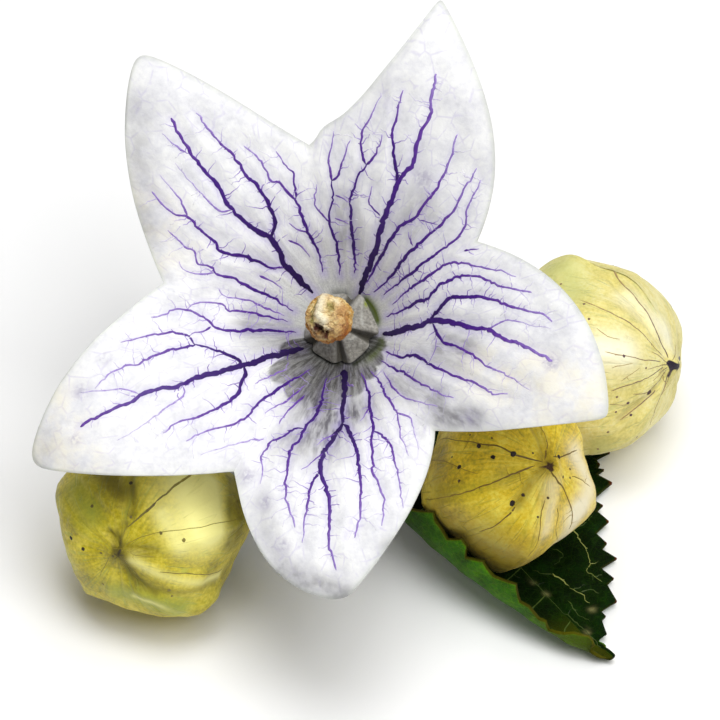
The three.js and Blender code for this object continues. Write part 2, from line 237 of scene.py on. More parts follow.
class Paint:
    # one material while its nodes are laid out
    def __init__(self, name, **fixed):
        self.material = bpy.data.materials.new(name)
        self.material.use_nodes = True
        self.tree = self.material.node_tree
        self.shader = self.tree.nodes["Principled BSDF"]
        for key, number in fixed.items():
            self.shader.inputs[key.replace("_", " ")].default_value = number
        self.place = self.node("VectorMath", {"operation": "SCALE"}, {
            0: self.node("TexCoord", output="Object"), "Scale": 1 / mm})

    def join(self, value, socket):
        if isinstance(value, Value):
            self.tree.links.new(value.socket, socket)
        else:
            socket.default_value = value

    def node(self, kind, settings=None, inputs=None, output=0):
        made = self.tree.nodes.new("ShaderNode" + kind)
        for key, setting in (settings or {}).items():
            if key == "stops":
                self.setStops(made.color_ramp, setting)
            else:
                setattr(made, key, setting)
        for key, value in (inputs or {}).items():
            self.join(value, made.inputs[key])
        return Value(self, made.outputs[output])

    def setStops(self, ramp, stops):
        while len(ramp.elements) < len(stops):
            ramp.elements.new(1.0)
        for element, (place, colour) in zip(ramp.elements, stops):
            element.position = place
            element.color = colour

    def ramp(self, value, *stops):
        return self.node("ValToRGB", {"stops": stops}, {"Fac": value})

    def mix(self, factor, first, second):
        return self.node("Mix", {"data_type": "RGBA"}, {0: factor, 6: first, 7: second}, 2)

    def step(self, value, low, high):
        return self.node("MapRange", {"interpolation_type": "SMOOTHSTEP"}, {
            "Value": value, "From Min": low, "From Max": high})

    def noise(self, scale, detail=3.0, coords=None):
        return self.node("TexNoise", None, {
            "Vector": coords or self.place, "Scale": scale, "Detail": detail, "Roughness": 0.55})

    def edges(self, scale, coords=None):
        return self.node("TexVoronoi", {"feature": "DISTANCE_TO_EDGE"}, {
            "Vector": coords or self.place, "Scale": scale})

    def channel(self, name, index):
        # one of the three numbers that a piece keeps under this name
        colour = self.node("Attribute", {"attribute_name": name}, output="Color")
        return self.node("SeparateColor", None, {"Color": colour}, index)

    def vector(self, name):
        return self.node("Attribute", {"attribute_name": name}, output="Vector")

    def bump(self, height, distance, strength):
        return self.node("Bump", None, {"Height": height, "Distance": distance * mm, "Strength": strength})

    def finish(self, **outputs):
        for key, value in outputs.items():
            self.join(value, self.shader.inputs[key.replace("_", " ")])
        return self.material


strips = {
    "bed": 0.012, "sunk": 0.07, "leastLift": 0.012, "liftByWidth": 0.05, "leastWidth": 0.04, "over": 0.1,
    # share of the half width, share of the lift (none: laid in the bed) and depth of the ink, side to side
    "section": [(1, None, 0), (0.66, 0.7, 0.8), (0, 1, 1), (-0.66, 0.7, 0.8), (-1, None, 0)],
    "dotSides": 9, "dotRise": 0.02, "dotTop": 0.03,
}


class VeinWork:
    # strips with a low arched section, kept as one mesh
    def __init__(self, skin):
        self.skin = skin
        self.points = []
        self.faces = []
        self.ink = []

    def foot(self, guide):
        spot, normal, face, away = self.skin.find_nearest(guide)
        return spot, normal

    def add(self, point, depth, ink):
        self.points.append(point)
        self.ink.append((depth, ink, 0))

    def strip(self, spine, widths, inks):
        count = len(spine)
        lift = strips["leastLift"] + strips["liftByWidth"] * max(widths)
        start = len(self.points)
        for index, spot in enumerate(spine):
            foot, normal = self.foot(spot)
            ahead = spine[min(index + 1, count - 1)] - spine[max(index - 1, 0)]
            side = normal.cross(ahead).normalized()
            width, ink = widths[index], inks[index]
            for share, high, depth in strips["section"]:
                there, facing = self.foot(foot + side * width * share + normal * strips["over"])
                self.add(there + facing * (high * lift if high else -strips["bed"]), depth, ink)
            self.add(foot - normal * strips["sunk"], 0, ink)
        for index in range(count - 1):
            near = start + 6 * index
            for corner in range(6):
                beside = (corner + 1) % 6
                self.faces.append((near + corner, near + beside, near + 6 + beside, near + 6 + corner))
        self.faces.append(tuple(start + corner for corner in range(5, -1, -1)))
        self.faces.append(tuple(start + 6 * (count - 1) + corner for corner in range(6)))

    def vein(self, route, width, inks, wander, spurs, feelers, step=0.22, tail=0.3, rooted=False):
        # route: guide points on the surface. inks: its strength at the start and at the end
        line = curveThrough(route, step)
        count = len(line)
        if count < 4:
            return
        sway, aim, left = 0.0, 0.0, 0
        spine, kinks = [], []
        for index, guide in enumerate(line):
            foot, normal = self.foot(guide)
            ahead = line[min(index + 1, count - 1)] - line[max(index - 1, 0)]
            side = normal.cross(ahead).normalized()
            if left == 0:
                aim = dice.uniform(-wander, wander)
                left = dice.choice((1, 2, 2, 3))
                kinks.append((index, 1 if aim > sway else -1))
            sway += (aim - sway) / left
            left -= 1
            spine.append(foot + side * sway)
        widths, tones = [], []
        narrow, swollen, pale = (0.35, 0.32, 0.55) if rooted else (0.5, 0.08, 1.0)
        for index in range(count):
            share = index / (count - 1)
            swell = blend(narrow, 1, smoothStep(0, swollen, share))
            darken = blend(pale, 1, smoothStep(0, 0.25, share))
            ragged = 1 + dice.uniform(-0.2, 0.3)
            widths.append(max(width * swell * blend(1, tail, share) * ragged, strips["leastWidth"]))
            tones.append(blend(inks[0], inks[1], share) * darken)
        widths[0] *= 0.5
        widths[-1] *= 0.5
        self.strip(spine, widths, tones)
        for index, sign in kinks:
            if 0 < index < count - 2:
                if dice.random() < spurs * (1 - 0.8 * index / count):
                    self.spur(spine, index, sign, widths[index], tones[index])
                if dice.random() < feelers:
                    self.feeler(spine, index, dice.choice((-1, 1)), tones[index])

    def heading(self, spine, index, sign):
        foot, normal = self.foot(spine[index])
        ahead = (spine[index + 1] - spine[index - 1]).normalized()
        return foot, normal, ahead, normal.cross(ahead) * sign

    def spur(self, spine, index, sign, width, ink):
        # a short pointed side branch with a broad foot
        foot, normal, ahead, side = self.heading(spine, index, sign)
        length = 0.8 * width + dice.uniform(0.04, 0.2)
        way = (side * dice.uniform(0.7, 1.3) + ahead).normalized()
        turned = (way + side * dice.uniform(-0.5, 0.5)).normalized()
        route = [foot, foot + way * length * 0.5, foot + way * length * 0.5 + turned * length * 0.5]
        base = min(0.5 * width, 0.1)
        self.strip(route, [max(base * share, 0.03) for share in (1, 0.7, 0.3)], [ink, ink * 0.95, ink * 0.7])

    def feeler(self, spine, index, sign, ink):
        # a thin veinlet that wanders off between the veins
        foot, normal, ahead, side = self.heading(spine, index, sign)
        steps = dice.choice((3, 4, 5, 6, 8))
        way = (side * dice.uniform(0.8, 1.6) + ahead * dice.uniform(-0.1, 1.0)).normalized()
        route = [foot]
        for part in range(steps):
            swing = dice.uniform(-0.75, 0.75)
            heading = (way + normal.cross(way) * swing).normalized()
            route.append(route[-1] + heading * dice.uniform(0.18, 0.34))
        shares = [index / steps for index in range(steps + 1)]
        self.strip(route, [blend(0.055, 0.03, share) for share in shares],
                   [ink * blend(0.65, 0.2, share) for share in shares])

    def dot(self, guide, radius, ink):
        # a small round speck with a soft rim
        foot, normal = self.foot(guide)
        side = normal.orthogonal().normalized()
        across = normal.cross(side)
        start = len(self.points)
        sides = strips["dotSides"]
        for share, rise, depth in ((1, -strips["bed"], 0), (0.6, strips["dotRise"], 0.8)):
            for corner in range(sides):
                turn = math.tau * corner / sides
                wobble = 1 + dice.uniform(-0.2, 0.2)
                out = (side * math.cos(turn) + across * math.sin(turn)) * radius * share * wobble
                there, facing = self.foot(foot + out + normal * strips["over"])
                self.add(there + facing * rise, depth, ink)
        self.add(foot + normal * strips["dotTop"], 1, ink)
        self.add(foot - normal * strips["sunk"], 0, ink)
        inner, top, bottom = start + sides, start + 2 * sides, start + 2 * sides + 1
        for corner in range(sides):
            beside = (corner + 1) % sides
            self.faces.append((start + corner, start + beside, inner + beside, inner + corner))
            self.faces.append((inner + corner, inner + beside, top))
            self.faces.append((start + beside, start + corner, bottom))

    def piece(self, name):
        mesh = bpy.data.meshes.new(name)
        mesh.from_pydata([point * mm for point in self.points], [], self.faces)
        mesh.validate()
        made = bpy.data.objects.new(name, mesh)
        bpy.context.scene.collection.objects.link(made)
        pickAlone(made)
        bpy.ops.object.mode_set(mode="EDIT")
        bpy.ops.mesh.select_all(action="SELECT")
        bpy.ops.mesh.normals_make_consistent(inside=False)
        bpy.ops.object.mode_set(mode="OBJECT")
        bpy.ops.object.shade_smooth()
        writeColours(made, "ink", self.ink)
        return made


bloom = {
    "centre": (-1.29, -12.27, 18.36), "axis": (-0.153, -0.543, 0.826), "calyx": 3.6,
    "bowlDepth": 15, "bowlSpread": 9, "throatRound": 3, "throatRadius": 3.2,
    "sinusDrop": 1.1, "foldLimit": 1.2, "tipRecurve": 1.3, "recurveFrom": 0.72,
    "thick": 0.5, "edgeThick": 0.24, "solidThick": 0.7,
    "edgeSteps": 33, "tipSteps": 5, "topRows": 84, "underRows": 30, "throatRows": 11,
}
# tip angle, reach, bluntness, bulges of the edge before and after, next notch's angle and reach
lobes = [
    {"tip": -20.4, "reach": 24.4, "blunt": 0.4, "before": (0.3, 0.2), "after": (1.7, 1.9),
     "notch": 25.6, "notchReach": 13.6},
    {"tip": 68.5, "reach": 26.8, "blunt": 0.2, "before": (2.0, 1.0), "after": (-0.5, -0.4), "shoulder": 0.35,
     "notch": 95.7, "notchReach": 14.1},
    {"tip": 125.2, "reach": 25.8, "blunt": 0.5, "before": (0.0, 0.3), "after": (0.8, 0.9),
     "notch": 167.2, "notchReach": 13.7},
    {"tip": 206.5, "reach": 26.0, "blunt": 0.6, "before": (0.7, 1.0), "after": (0.3, 0.4),
     "notch": 239.0, "notchReach": 14.5},
    {"tip": 273.5, "reach": 22.9, "blunt": 0.8, "before": (0.8, 1.5), "after": (1.0, 0.6),
     "notch": 313.3, "notchReach": 12.8},
]
# half width, ink at the start and at the end, then the route as (distance from the axis, angle),
# read from the picture
petalVeins = [
    (0.40, 1.0, 0.45, [(3.6, 128), (5.2, 129.5), (6.4, 130), (7.4, 127), (8.4, 126), (9.5, 129),
        (11, 130.7), (12, 131), (14, 129.2), (16, 129.2), (18.2, 128.4), (20.1, 127.3)]),
    (0.24, 0.9, 0.25, [(8.4, 126), (9.2, 119.5), (10.3, 117.5), (12.1, 117.3), (12.7, 118.5), (14.5, 119.2),
        (16, 120.2), (17.6, 121.4), (19.3, 121.5)]),
    (0.22, 0.85, 0.25, [(4.6, 105.5), (6.1, 103.2), (7.6, 105.3), (9.5, 105.3), (10.2, 106.2),
        (11.7, 109.5), (12.2, 112), (13.9, 112.4), (15.3, 115)]),
    (0.10, 0.5, 0.3, [(7.6, 105.3), (8, 110), (8.7, 113)]),
    (0.12, 0.6, 0.3, [(10.2, 105), (11.3, 103.9), (12.2, 102.8), (12.6, 104.6), (14.1, 106.6)]),
    (0.24, 0.9, 0.3, [(6.2, 131), (6.9, 138), (7.6, 140), (8.4, 142), (9.2, 143.8), (9.9, 146.2),
        (10.7, 147.6), (11.1, 145.8), (12.8, 144.6), (14, 143.5), (15, 145.5), (17.3, 144)]),
    (0.10, 0.4, 0.15, [(14, 143.5), (15, 141), (16, 140), (17.6, 139)]),
    (0.20, 0.8, 0.25, [(4, 160), (5.7, 156.5), (7.6, 156.8), (8.8, 155.9), (10.1, 157.3), (10.4, 155.5),
        (11.7, 156.3), (12.2, 152.7), (13, 152.8), (14.7, 150.6)]),
    (0.10, 0.35, 0.2, [(10.2, 157.5), (11.5, 160.5), (12.5, 160.5), (13, 158.5)]),
    (0.12, 0.5, 0.25, [(4.5, 168), (6.2, 165.7), (7.4, 164.7), (9, 166.2), (9.5, 163.3)]),
    (0.10, 0.35, 0.15, [(11.8, 131.5), (12.2, 134.3), (13.2, 135), (15.4, 134.6), (17.3, 134)]),
    (0.10, 0.35, 0.2, [(17.3, 129.7), (18.3, 130.8), (19.6, 131)]),
    (0.10, 0.5, 0.25, [(7.2, 147), (6.3, 146), (5.4, 146)]),
    (0.10, 0.5, 0.3, [(7.6, 118), (6.9, 113), (5.9, 110.5)]),
    (0.42, 1.0, 0.3, [(3.1, 60), (7, 60), (9, 61.3), (11.3, 60.7), (12.3, 61.3), (13.2, 60), (14.1, 59.3),
        (15.9, 60.8), (18.1, 60.7), (19, 61.8), (21.2, 63.4)]),
    (0.20, 0.8, 0.3, [(12.3, 61.3), (12.8, 63), (14, 65.8), (15.3, 68.1), (16.4, 68.8), (19, 69.2)]),
    (0.24, 0.85, 0.6, [(4.5, 72), (5.9, 74), (7.1, 76.8), (8.1, 78.2), (10, 79.8), (10.8, 78.3),
        (11.7, 77.2), (12.7, 74.6)]),
    (0.15, 0.6, 0.3, [(12.7, 74.6), (13.6, 72.3), (15.2, 71.3)]),
    (0.15, 0.6, 0.2, [(12.7, 74.8), (13.5, 77.2), (14.5, 78), (15.4, 78), (16.2, 76.3), (18.3, 74.5)]),
    (0.20, 0.8, 0.6, [(4.2, 88), (5.6, 88), (6.9, 89), (8.1, 91.5), (9.2, 89.4), (10.1, 88), (11.2, 88.4)]),
    (0.14, 0.6, 0.25, [(11.2, 88.4), (11.7, 85.3), (12.4, 84.1), (13.2, 83.4), (14.4, 81.4)]),
    (0.13, 0.5, 0.25, [(11.2, 88.4), (12.9, 89), (14.4, 87.4), (15, 87.2)]),
    (0.10, 0.5, 0.25, [(8.1, 91.5), (8.9, 95.8), (9.7, 97.3), (11, 95)]),
    (0.12, 0.6, 0.3, [(9.3, 63.5), (9.7, 68.9), (10, 70.8), (11.2, 71)]),
    (0.08, 0.45, 0.3, [(8.4, 88), (8.2, 83), (8, 79.5)]),
    (0.08, 0.45, 0.3, [(10.1, 87), (9.9, 83), (9.6, 80)]),
    (0.26, 0.95, 0.25, [(4, 57), (5.9, 54.7), (7.2, 54), (8.9, 52.6), (9.7, 51.3), (10.6, 48.3), (12.1, 48),
        (13.5, 48), (14.4, 48.5), (16, 50), (18, 52)]),
    (0.24, 0.95, 0.25, [(4, 44), (5.8, 40), (7.3, 40.3), (9, 39.7), (11, 38.8), (12.6, 38.3), (13.6, 39),
        (14.9, 40.7), (17, 42.5)]),
    (0.20, 0.85, 0.25, [(4.5, 33), (8.3, 30.7), (10.5, 30.3), (12.2, 30), (12.6, 30.6), (13.4, 32),
        (14.1, 35.3), (14.8, 36.8), (16.6, 39.5)]),
    (0.09, 0.5, 0.35, [(10.8, 46), (11.3, 42), (11.6, 39)]),
    (0.09, 0.5, 0.3, [(9, 41), (9.2, 45), (9.5, 47)]),
    (0.42, 1.0, 0.3, [(3.6, 350.5), (5, 352.7), (6, 355.3), (7.1, 357), (8.05, 359), (9.3, 358),
        (10.9, 356), (11.8, 354.5), (13.3, 353.9), (14.7, 351.5), (16.6, 349.7), (19.1, 347.2)]),
    (0.26, 0.9, 0.25, [(8.05, 359), (8.8, 364.2), (9.5, 367.6), (10.1, 368.7), (11.8, 367.2), (13.1, 365.4),
        (14.6, 362.4), (16.2, 360.1), (18.1, 358.1), (18.6, 356.7)]),
    (0.18, 0.75, 0.15, [(8.3, 358), (8.8, 351.7), (9.2, 349.7), (9.8, 347.3), (11.4, 345.9), (12.2, 344.5),
        (13.7, 342), (15.3, 340.9), (18, 339)]),
    (0.24, 0.9, 0.3, [(4, 11), (5.6, 11.2), (7.2, 12.5), (8, 12), (9.1, 16), (10.5, 16.7), (11.2, 16.3),
        (12.8, 13.6), (13.9, 9.6), (15.6, 6.3), (16.9, 4.5)]),
    (0.18, 0.75, 0.25, [(4.8, 20), (6.9, 23), (8.7, 23.5), (10.3, 24), (11.2, 23.3), (11.5, 21.7),
        (12.4, 19), (13, 17), (14.2, 14.3), (15.8, 10)]),
    (0.10, 0.6, 0.35, [(12.3, 25), (12.7, 24.5), (13.5, 23)]),
    (0.24, 0.9, 0.25, [(4.5, 331), (6, 331.5), (6.9, 336), (7.6, 337.2), (8.4, 335.9), (9, 334.8),
        (11.5, 334.6), (13.4, 334.9), (15.2, 334.1), (16.4, 335.6)]),
    (0.17, 0.75, 0.25, [(4.6, 321), (6.4, 322), (7.2, 324), (8.8, 323.7), (10.3, 325), (11.2, 325.5),
        (12.4, 327)]),
    (0.11, 0.55, 0.2, [(5.5, 315), (7, 312.5), (8, 312.5), (9.2, 314.5), (10, 317), (11.6, 320.5)]),
    (0.09, 0.35, 0.15, [(13.2, 354), (14.9, 357.2), (16.7, 355.8), (18.6, 355)]),
    (0.05, 0.35, 0.35, [(8.9, 349), (8.95, 343), (8.9, 336)]),
    (0.42, 1.0, 0.9, [(3.5, 276), (4.7, 277.4), (7.1, 276.8), (8.5, 276.7)]),
    (0.30, 0.95, 0.3, [(8.4, 276.7), (9.1, 274.3), (10, 271.3), (11.4, 268), (12.3, 268.2), (13.1, 269.5),
        (14.1, 271), (15.3, 272.1), (17.1, 272.3), (18.6, 272.1), (20.7, 273.7)]),
    (0.24, 0.9, 0.25, [(8.4, 276.7), (8.8, 278.7), (9.4, 280.5), (11, 282.4), (13.6, 282.4), (16, 281.5),
        (17, 280.4), (18.3, 278.8)]),
    (0.17, 0.7, 0.2, [(12.5, 268), (13.2, 266.1), (14.1, 265.5), (17.3, 265.5), (18.5, 265.5)]),
    (0.24, 0.95, 0.25, [(4.3, 257), (5, 258), (6.2, 260.8), (7.9, 260.2), (8.6, 257), (9.9, 256.7),
        (11, 254.3), (12, 255.4), (13.5, 256.5), (15.1, 258.6), (16.2, 261.2), (17.3, 263)]),
    (0.16, 0.7, 0.2, [(9.1, 256.5), (9.3, 251.9), (10.1, 249.2), (11, 244.8), (11.5, 245), (12.2, 244.3),
        (13.2, 247), (14.5, 248.7)]),
    (0.22, 0.85, 0.25, [(4.3, 296.7), (5.3, 296.3), (6.4, 296), (7.5, 294.1), (9.4, 292), (10.6, 289.6),
        (12.5, 287.9), (13.4, 287.2), (15.1, 288.4), (16.2, 287.9), (17.8, 286)]),
    (0.14, 0.6, 0.2, [(9.7, 291.9), (10.3, 294), (11, 295.4), (11.9, 296.1), (13.8, 295.2), (16, 293.2),
        (17, 292.5)]),
    (0.16, 0.7, 0.2, [(4.6, 305), (5.8, 307), (7, 306.3), (8.4, 305.8), (9.3, 305.5), (9.9, 304.1),
        (10.5, 303.2), (11.3, 301.8), (13.2, 300.6)]),
    (0.10, 0.4, 0.15, [(9.3, 305.5), (10.3, 309), (11, 308.5), (12.2, 306.5), (13.2, 305)]),
    (0.12, 0.55, 0.25, [(5.5, 243), (6.8, 240), (7.6, 239), (8.4, 236.5), (9.2, 235)]),
    (0.12, 0.55, 0.3, [(6.3, 247), (7.7, 244.5), (8.9, 243.2), (9.4, 243.8)]),
    (0.09, 0.5, 0.25, [(7.6, 294), (8, 291), (8.6, 286.5)]),
    (0.10, 0.5, 0.25, [(9.3, 273.5), (9.8, 268), (10.3, 265)]),
    (0.10, 0.5, 0.25, [(11, 268.5), (12, 263.5), (12.5, 261)]),
    (0.40, 1.0, 0.45, [(3.4, 209.5), (5.4, 206.5), (6.3, 205.3), (7.3, 206.4), (8, 206), (9.7, 205.3),
        (11.6, 204.1), (12.8, 204.8), (14.7, 203.3), (16, 202.8), (16.5, 203.7), (19, 204), (21.4, 204.7)]),
    (0.24, 0.85, 0.6, [(8, 206), (8.3, 200.8), (8.9, 197.6), (10, 192.9), (11, 190.4)]),
    (0.14, 0.6, 0.25, [(11, 190.4), (11.4, 186.5), (12.8, 184.6), (14.9, 185.9), (16.6, 187)]),
    (0.16, 0.6, 0.2, [(11, 190.4), (12.5, 191.2), (14.2, 192.1), (15.5, 194), (16.4, 193.6), (17.8, 195),
        (19.2, 197.8)]),
    (0.22, 0.85, 0.25, [(8, 206), (8.1, 210.2), (8.6, 213.7), (9.3, 217.3), (9.7, 218.5), (10.8, 219.2),
        (12.5, 218.3), (14.7, 215.7), (16, 216.3)]),
    (0.22, 0.9, 0.25, [(3.6, 186), (4.8, 184.5), (6.8, 184.1), (7.8, 185.1), (9.3, 183.1), (9.8, 179.8),
        (11.1, 176.4), (12.4, 176.1), (13.5, 179), (14.2, 179.6)]),
    (0.10, 0.5, 0.3, [(9.7, 182.5), (10.3, 184.7), (10.9, 185), (11.3, 186.5)]),
    (0.20, 0.85, 0.25, [(4.2, 236), (5, 233.7), (6.6, 230.6), (8, 229), (9.4, 228.7), (9.9, 229.7),
        (11, 228.7), (12.3, 225.8), (13.4, 223.2), (15, 221.8)]),
    (0.15, 0.7, 0.25, [(4.2, 174), (5.2, 172.5), (7.1, 172.3), (8.5, 173.2), (9, 171), (10.4, 171),
        (11, 172.5), (11.5, 175.5)]),
    (0.10, 0.4, 0.3, [(5.3, 221), (6.5, 220), (8, 218.5)]),
    (0.09, 0.3, 0.15, [(11, 241.5), (12, 236), (13.2, 232), (15, 228)]),
    (0.09, 0.3, 0.15, [(12.8, 204.8), (13, 208.5), (14.8, 210), (17, 211.3), (19.3, 211.5)]),
    (0.09, 0.3, 0.2, [(16.2, 202.5), (17.2, 200), (18.3, 199), (19.5, 198.2), (20.4, 197.5)]),
]
# soft purple-grey marks: distance, angle, size
petalBlotches = [
    (13.6, 53.5, 0.9), (14.6, 324.5, 0.6), (19.1, 346.5, 0.7), (14.3, 244, 0.7), (15.8, 253, 0.6),
    (18.9, 261, 0.6), (22.2, 206.7, 0.5), (20.4, 197.5, 0.7), (18, 190.8, 0.5),
]
# cream tinges: angles where each comes up and fades out, and distances where it comes up
petalCreams = [(325, 338, 344, 356, 8, 16), (136, 150, 160, 172, 10, 16), (188, 198, 212, 222, 19, 23)]
# reach in mm, strength, picture points. shade is painted shade on the petals, line is painted shade along the
# dome's rim, and olive is a green tint with painted shade along the lower right scale's edge
petalMarks = {
    "shade": [
        (2.0, 0.95, [(312, 400), (330, 420), (352, 412)]), (1.8, 0.6, [(295, 440), (330, 450)]),
        (1.1, 0.6, [(285, 572), (305, 592), (345, 596)]), (0.9, 0.3, [(262, 500), (275, 545)]),
        (0.9, 0.35, [(388, 545), (372, 572)]), (1.0, 0.75, [(436, 400), (444, 416), (475, 418)]),
        (1.6, 0.6, [(440, 345), (465, 350)]), (1.5, 0.5, [(395, 385), (415, 390)]),
        (1.6, 0.65, [(252, 325), (280, 335)]), (1.6, 0.35, [(140, 110), (138, 160), (148, 230)]),
        (1.4, 0.5, [(348, 240), (342, 205)]), (1.6, 0.4, [(420, 205), (405, 230)]),
        (1.2, 0.3, [(45, 440), (42, 455)]),
    ],
    "line": [
        (0.32, 1.0, [(311, 349), (323, 356), (337, 363)]),
        (0.32, 1.0, [(355, 364), (366, 355), (379, 344)]), (0.35, 0.6, [(334, 293), (346, 293)]),
        (0.3, 0.4, [(344, 372), (345, 384)]),
    ],
    "olive": [
        (0.55, 1.1, [(367, 301), (373, 309), (377, 320)]), (0.5, 0.6, [(382, 338), (380, 348), (371, 357)]),
        (0.8, 0.5, [(480, 236)]), (0.8, 0.4, [(307, 141)]),
    ],
}


def bowlHeight(radius):
    along = math.hypot(radius, bloom["throatRound"]) - bloom["throatRound"]
    return bloom["bowlDepth"] * (1 - math.exp(-along / bloom["bowlSpread"]))


def loweredHeight(heightAt, radius, distance):
    step = 0.01
    slope = (heightAt(radius + step) - heightAt(max(radius - step, 0))) / (2 * step)
    return heightAt(radius) - distance * math.hypot(1, slope)


def edgePoint(notch, tip, sideways, bulges, shoulder, t):
    push = (27 / 4) * t * (1 - t) * ((1 - t) * bulges[0] + t * bulges[1])
    push += shoulder * math.exp(-(((t - 0.12) / 0.08) ** 2)) * smoothStep(0, 0.1, t)
    return notch.lerp(tip, t) + sideways * push


def bloomColumns():
    # where each column of the corolla ends, its lobe, and how far it lies towards a notch
    columns = []
    steps, tipSteps = bloom["edgeSteps"], bloom["tipSteps"]
    for index, lobe in enumerate(lobes):
        previous = lobes[index - 1]
        tip = polar(lobe["reach"], lobe["tip"])
        sideways = polar(1, lobe["tip"] + 90)
        corners = [tip - sideways * lobe["blunt"], tip + sideways * lobe["blunt"]]
        notches = [polar(previous["notchReach"], previous["notch"]), polar(lobe["notchReach"], lobe["notch"])]
        edges = []
        for notch, corner, bulges, sign in zip(notches, corners, (lobe["before"], lobe["after"]), (-1, 1)):
            along = (corner - notch).normalized()
            outward = Vector((-along.y, along.x))
            if outward.dot(sideways) * sign < 0:
                outward = -outward
            shoulder = lobe.get("shoulder", 0) if sign > 0 else 0
            edges.append([edgePoint(notch, corner, outward, bulges, shoulder, step / steps)
                          for step in range(steps + 1)])
        for step in range(steps + 1):
            columns.append({"end": edges[0][step], "lobe": lobe, "across": 1 - step / steps})
        for step in range(1, tipSteps):
            columns.append({"end": corners[0].lerp(corners[1], step / tipSteps), "lobe": lobe, "across": 0})
        for step in range(steps, 0, -1):
            columns.append({"end": edges[1][step], "lobe": lobe, "across": 1 - step / steps})
    count = len(columns)
    for _ in range(4):  # rounds the tips
        ends = [column["end"].copy() for column in columns]
        for index, column in enumerate(columns):
            weight = 1 - smoothStep(0.03, 0.12, column["across"])
            middling = (ends[index - 1] + ends[(index + 1) % count]) / 2
            column["end"] = ends[index].lerp(middling, 0.6 * weight)
    return columns


def petalDrop(radius, column):
    lobe = column["lobe"]
    fold = (column["across"] * min(radius / lobe["notchReach"], bloom["foldLimit"])) ** 2
    past = max(radius / lobe["reach"] - bloom["recurveFrom"], 0) / (1 - bloom["recurveFrom"])
    return bloom["sinusDrop"] * fold + bloom["tipRecurve"] * past ** 2


def veinField(routes):
    # the veins as points, to find how near a spot lies to one
    spots = []
    for width, first, last, route in routes:
        line = curveThrough([polar(*stop).to_3d() for stop in route], 0.35)
        for index, spot in enumerate(line):
            share = index / (len(line) - 1)
            spots.append((spot, width * blend(1, 0.3, share), blend(first, last, share)))
    tree = KDTree(len(spots))
    for index, (spot, width, ink) in enumerate(spots):
        tree.insert(spot, index)
    tree.balance()
    return tree, spots


petalField, petalSpots = veinField(petalVeins)
columnsAround = bloomColumns()


def nearVeins(flat):
    # (distance to the nearest vein, its half width, its ink)
    spot, index, away = petalField.find(flat)
    return away, petalSpots[index][1], petalSpots[index][2]


def petalDetail(flat, share):
    # grooves along the veins, soft pads between them, and a wavy margin
    away, width, ink = nearVeins(flat)
    radius = flat.length
    turn = math.atan2(flat.y, flat.x)
    groove = -(0.07 + 0.45 * width) * ink * math.exp(-((away / (0.28 + width)) ** 2))
    pad = 0.17 * smoothStep(0.2, 1.4, away)
    pleat = 0.05 * noise.noise(Vector((math.cos(turn) * 9, math.sin(turn) * 9, radius * 0.12)))
    ripple = 0.16 * noise.noise(Vector((flat.x * 0.3, flat.y * 0.3, 4.0)))
    margin = 0.22 * noise.noise(Vector((math.cos(turn) * 7, math.sin(turn) * 7, 8.0))) * share ** 4
    inside = smoothStep(3.5, 6.5, radius) * smoothStep(1.0, 0.9, share)
    outside = ripple * smoothStep(3, 8, radius) + margin * smoothStep(8, 14, radius)
    return inside * (groove + pad + pleat) + outside


def corollaPoint(row, column):
    spoke = columnsAround[column]
    reach = spoke["end"].length
    top, under, throatRows = bloom["topRows"], bloom["underRows"], bloom["throatRows"]
    if row <= top:
        share = row / top
        below = 0.0
    elif row == top + 1:
        share = 1.004
        below = 0.5 * bloom["edgeThick"]
    else:
        share = 1 - (row - top - 2) / (under - 1)
        below = blend(bloom["thick"], bloom["edgeThick"], smoothStep(0.8, 1.0, share))
    throatShare = throatRows / top
    if share <= throatShare:
        radius = bloom["throatRadius"] * share / throatShare
    else:
        radius = blend(bloom["throatRadius"], reach, (share - throatShare) / (1 - throatShare))
    flat = spoke["end"].normalized() * radius
    height = loweredHeight(bowlHeight, radius, below) - petalDrop(radius, spoke)
    height += petalDetail(flat.to_3d(), min(radius / reach, 1.0))
    return Vector((flat.x, flat.y, height))


# round-ended patches of painted shadow below the dome, where the sepals behind the petals shade them: middle
# angle, half width, reach
throatShadowPads = [
    (222, 11, 6.9), (241, 12, 7.2), (264, 13, 7.4), (286, 12, 6.3), (304, 11, 5.4), (319, 11, 4.9),
    (205, 11, 5.2), (335, 11, 4.4),
]


def rimField():
    tree = KDTree(len(columnsAround))
    for index, spoke in enumerate(columnsAround):
        tree.insert(spoke["end"].to_3d(), index)
    tree.balance()
    return tree


petalRim = rimField()


def throatShadowAt(radius, degrees):
    found = 0.0
    for angle, half, reach in throatShadowPads:
        off = abs((degrees - angle + 180) % 360 - 180) / half
        if off < 1:
            edge = reach - 1.6 * (1 - math.sqrt(1 - off * off))
            found = max(found, smoothStep(edge + 0.12, edge - 0.12, radius))
    return found * blend(0.75, 1, smoothStep(7, 4.5, radius))


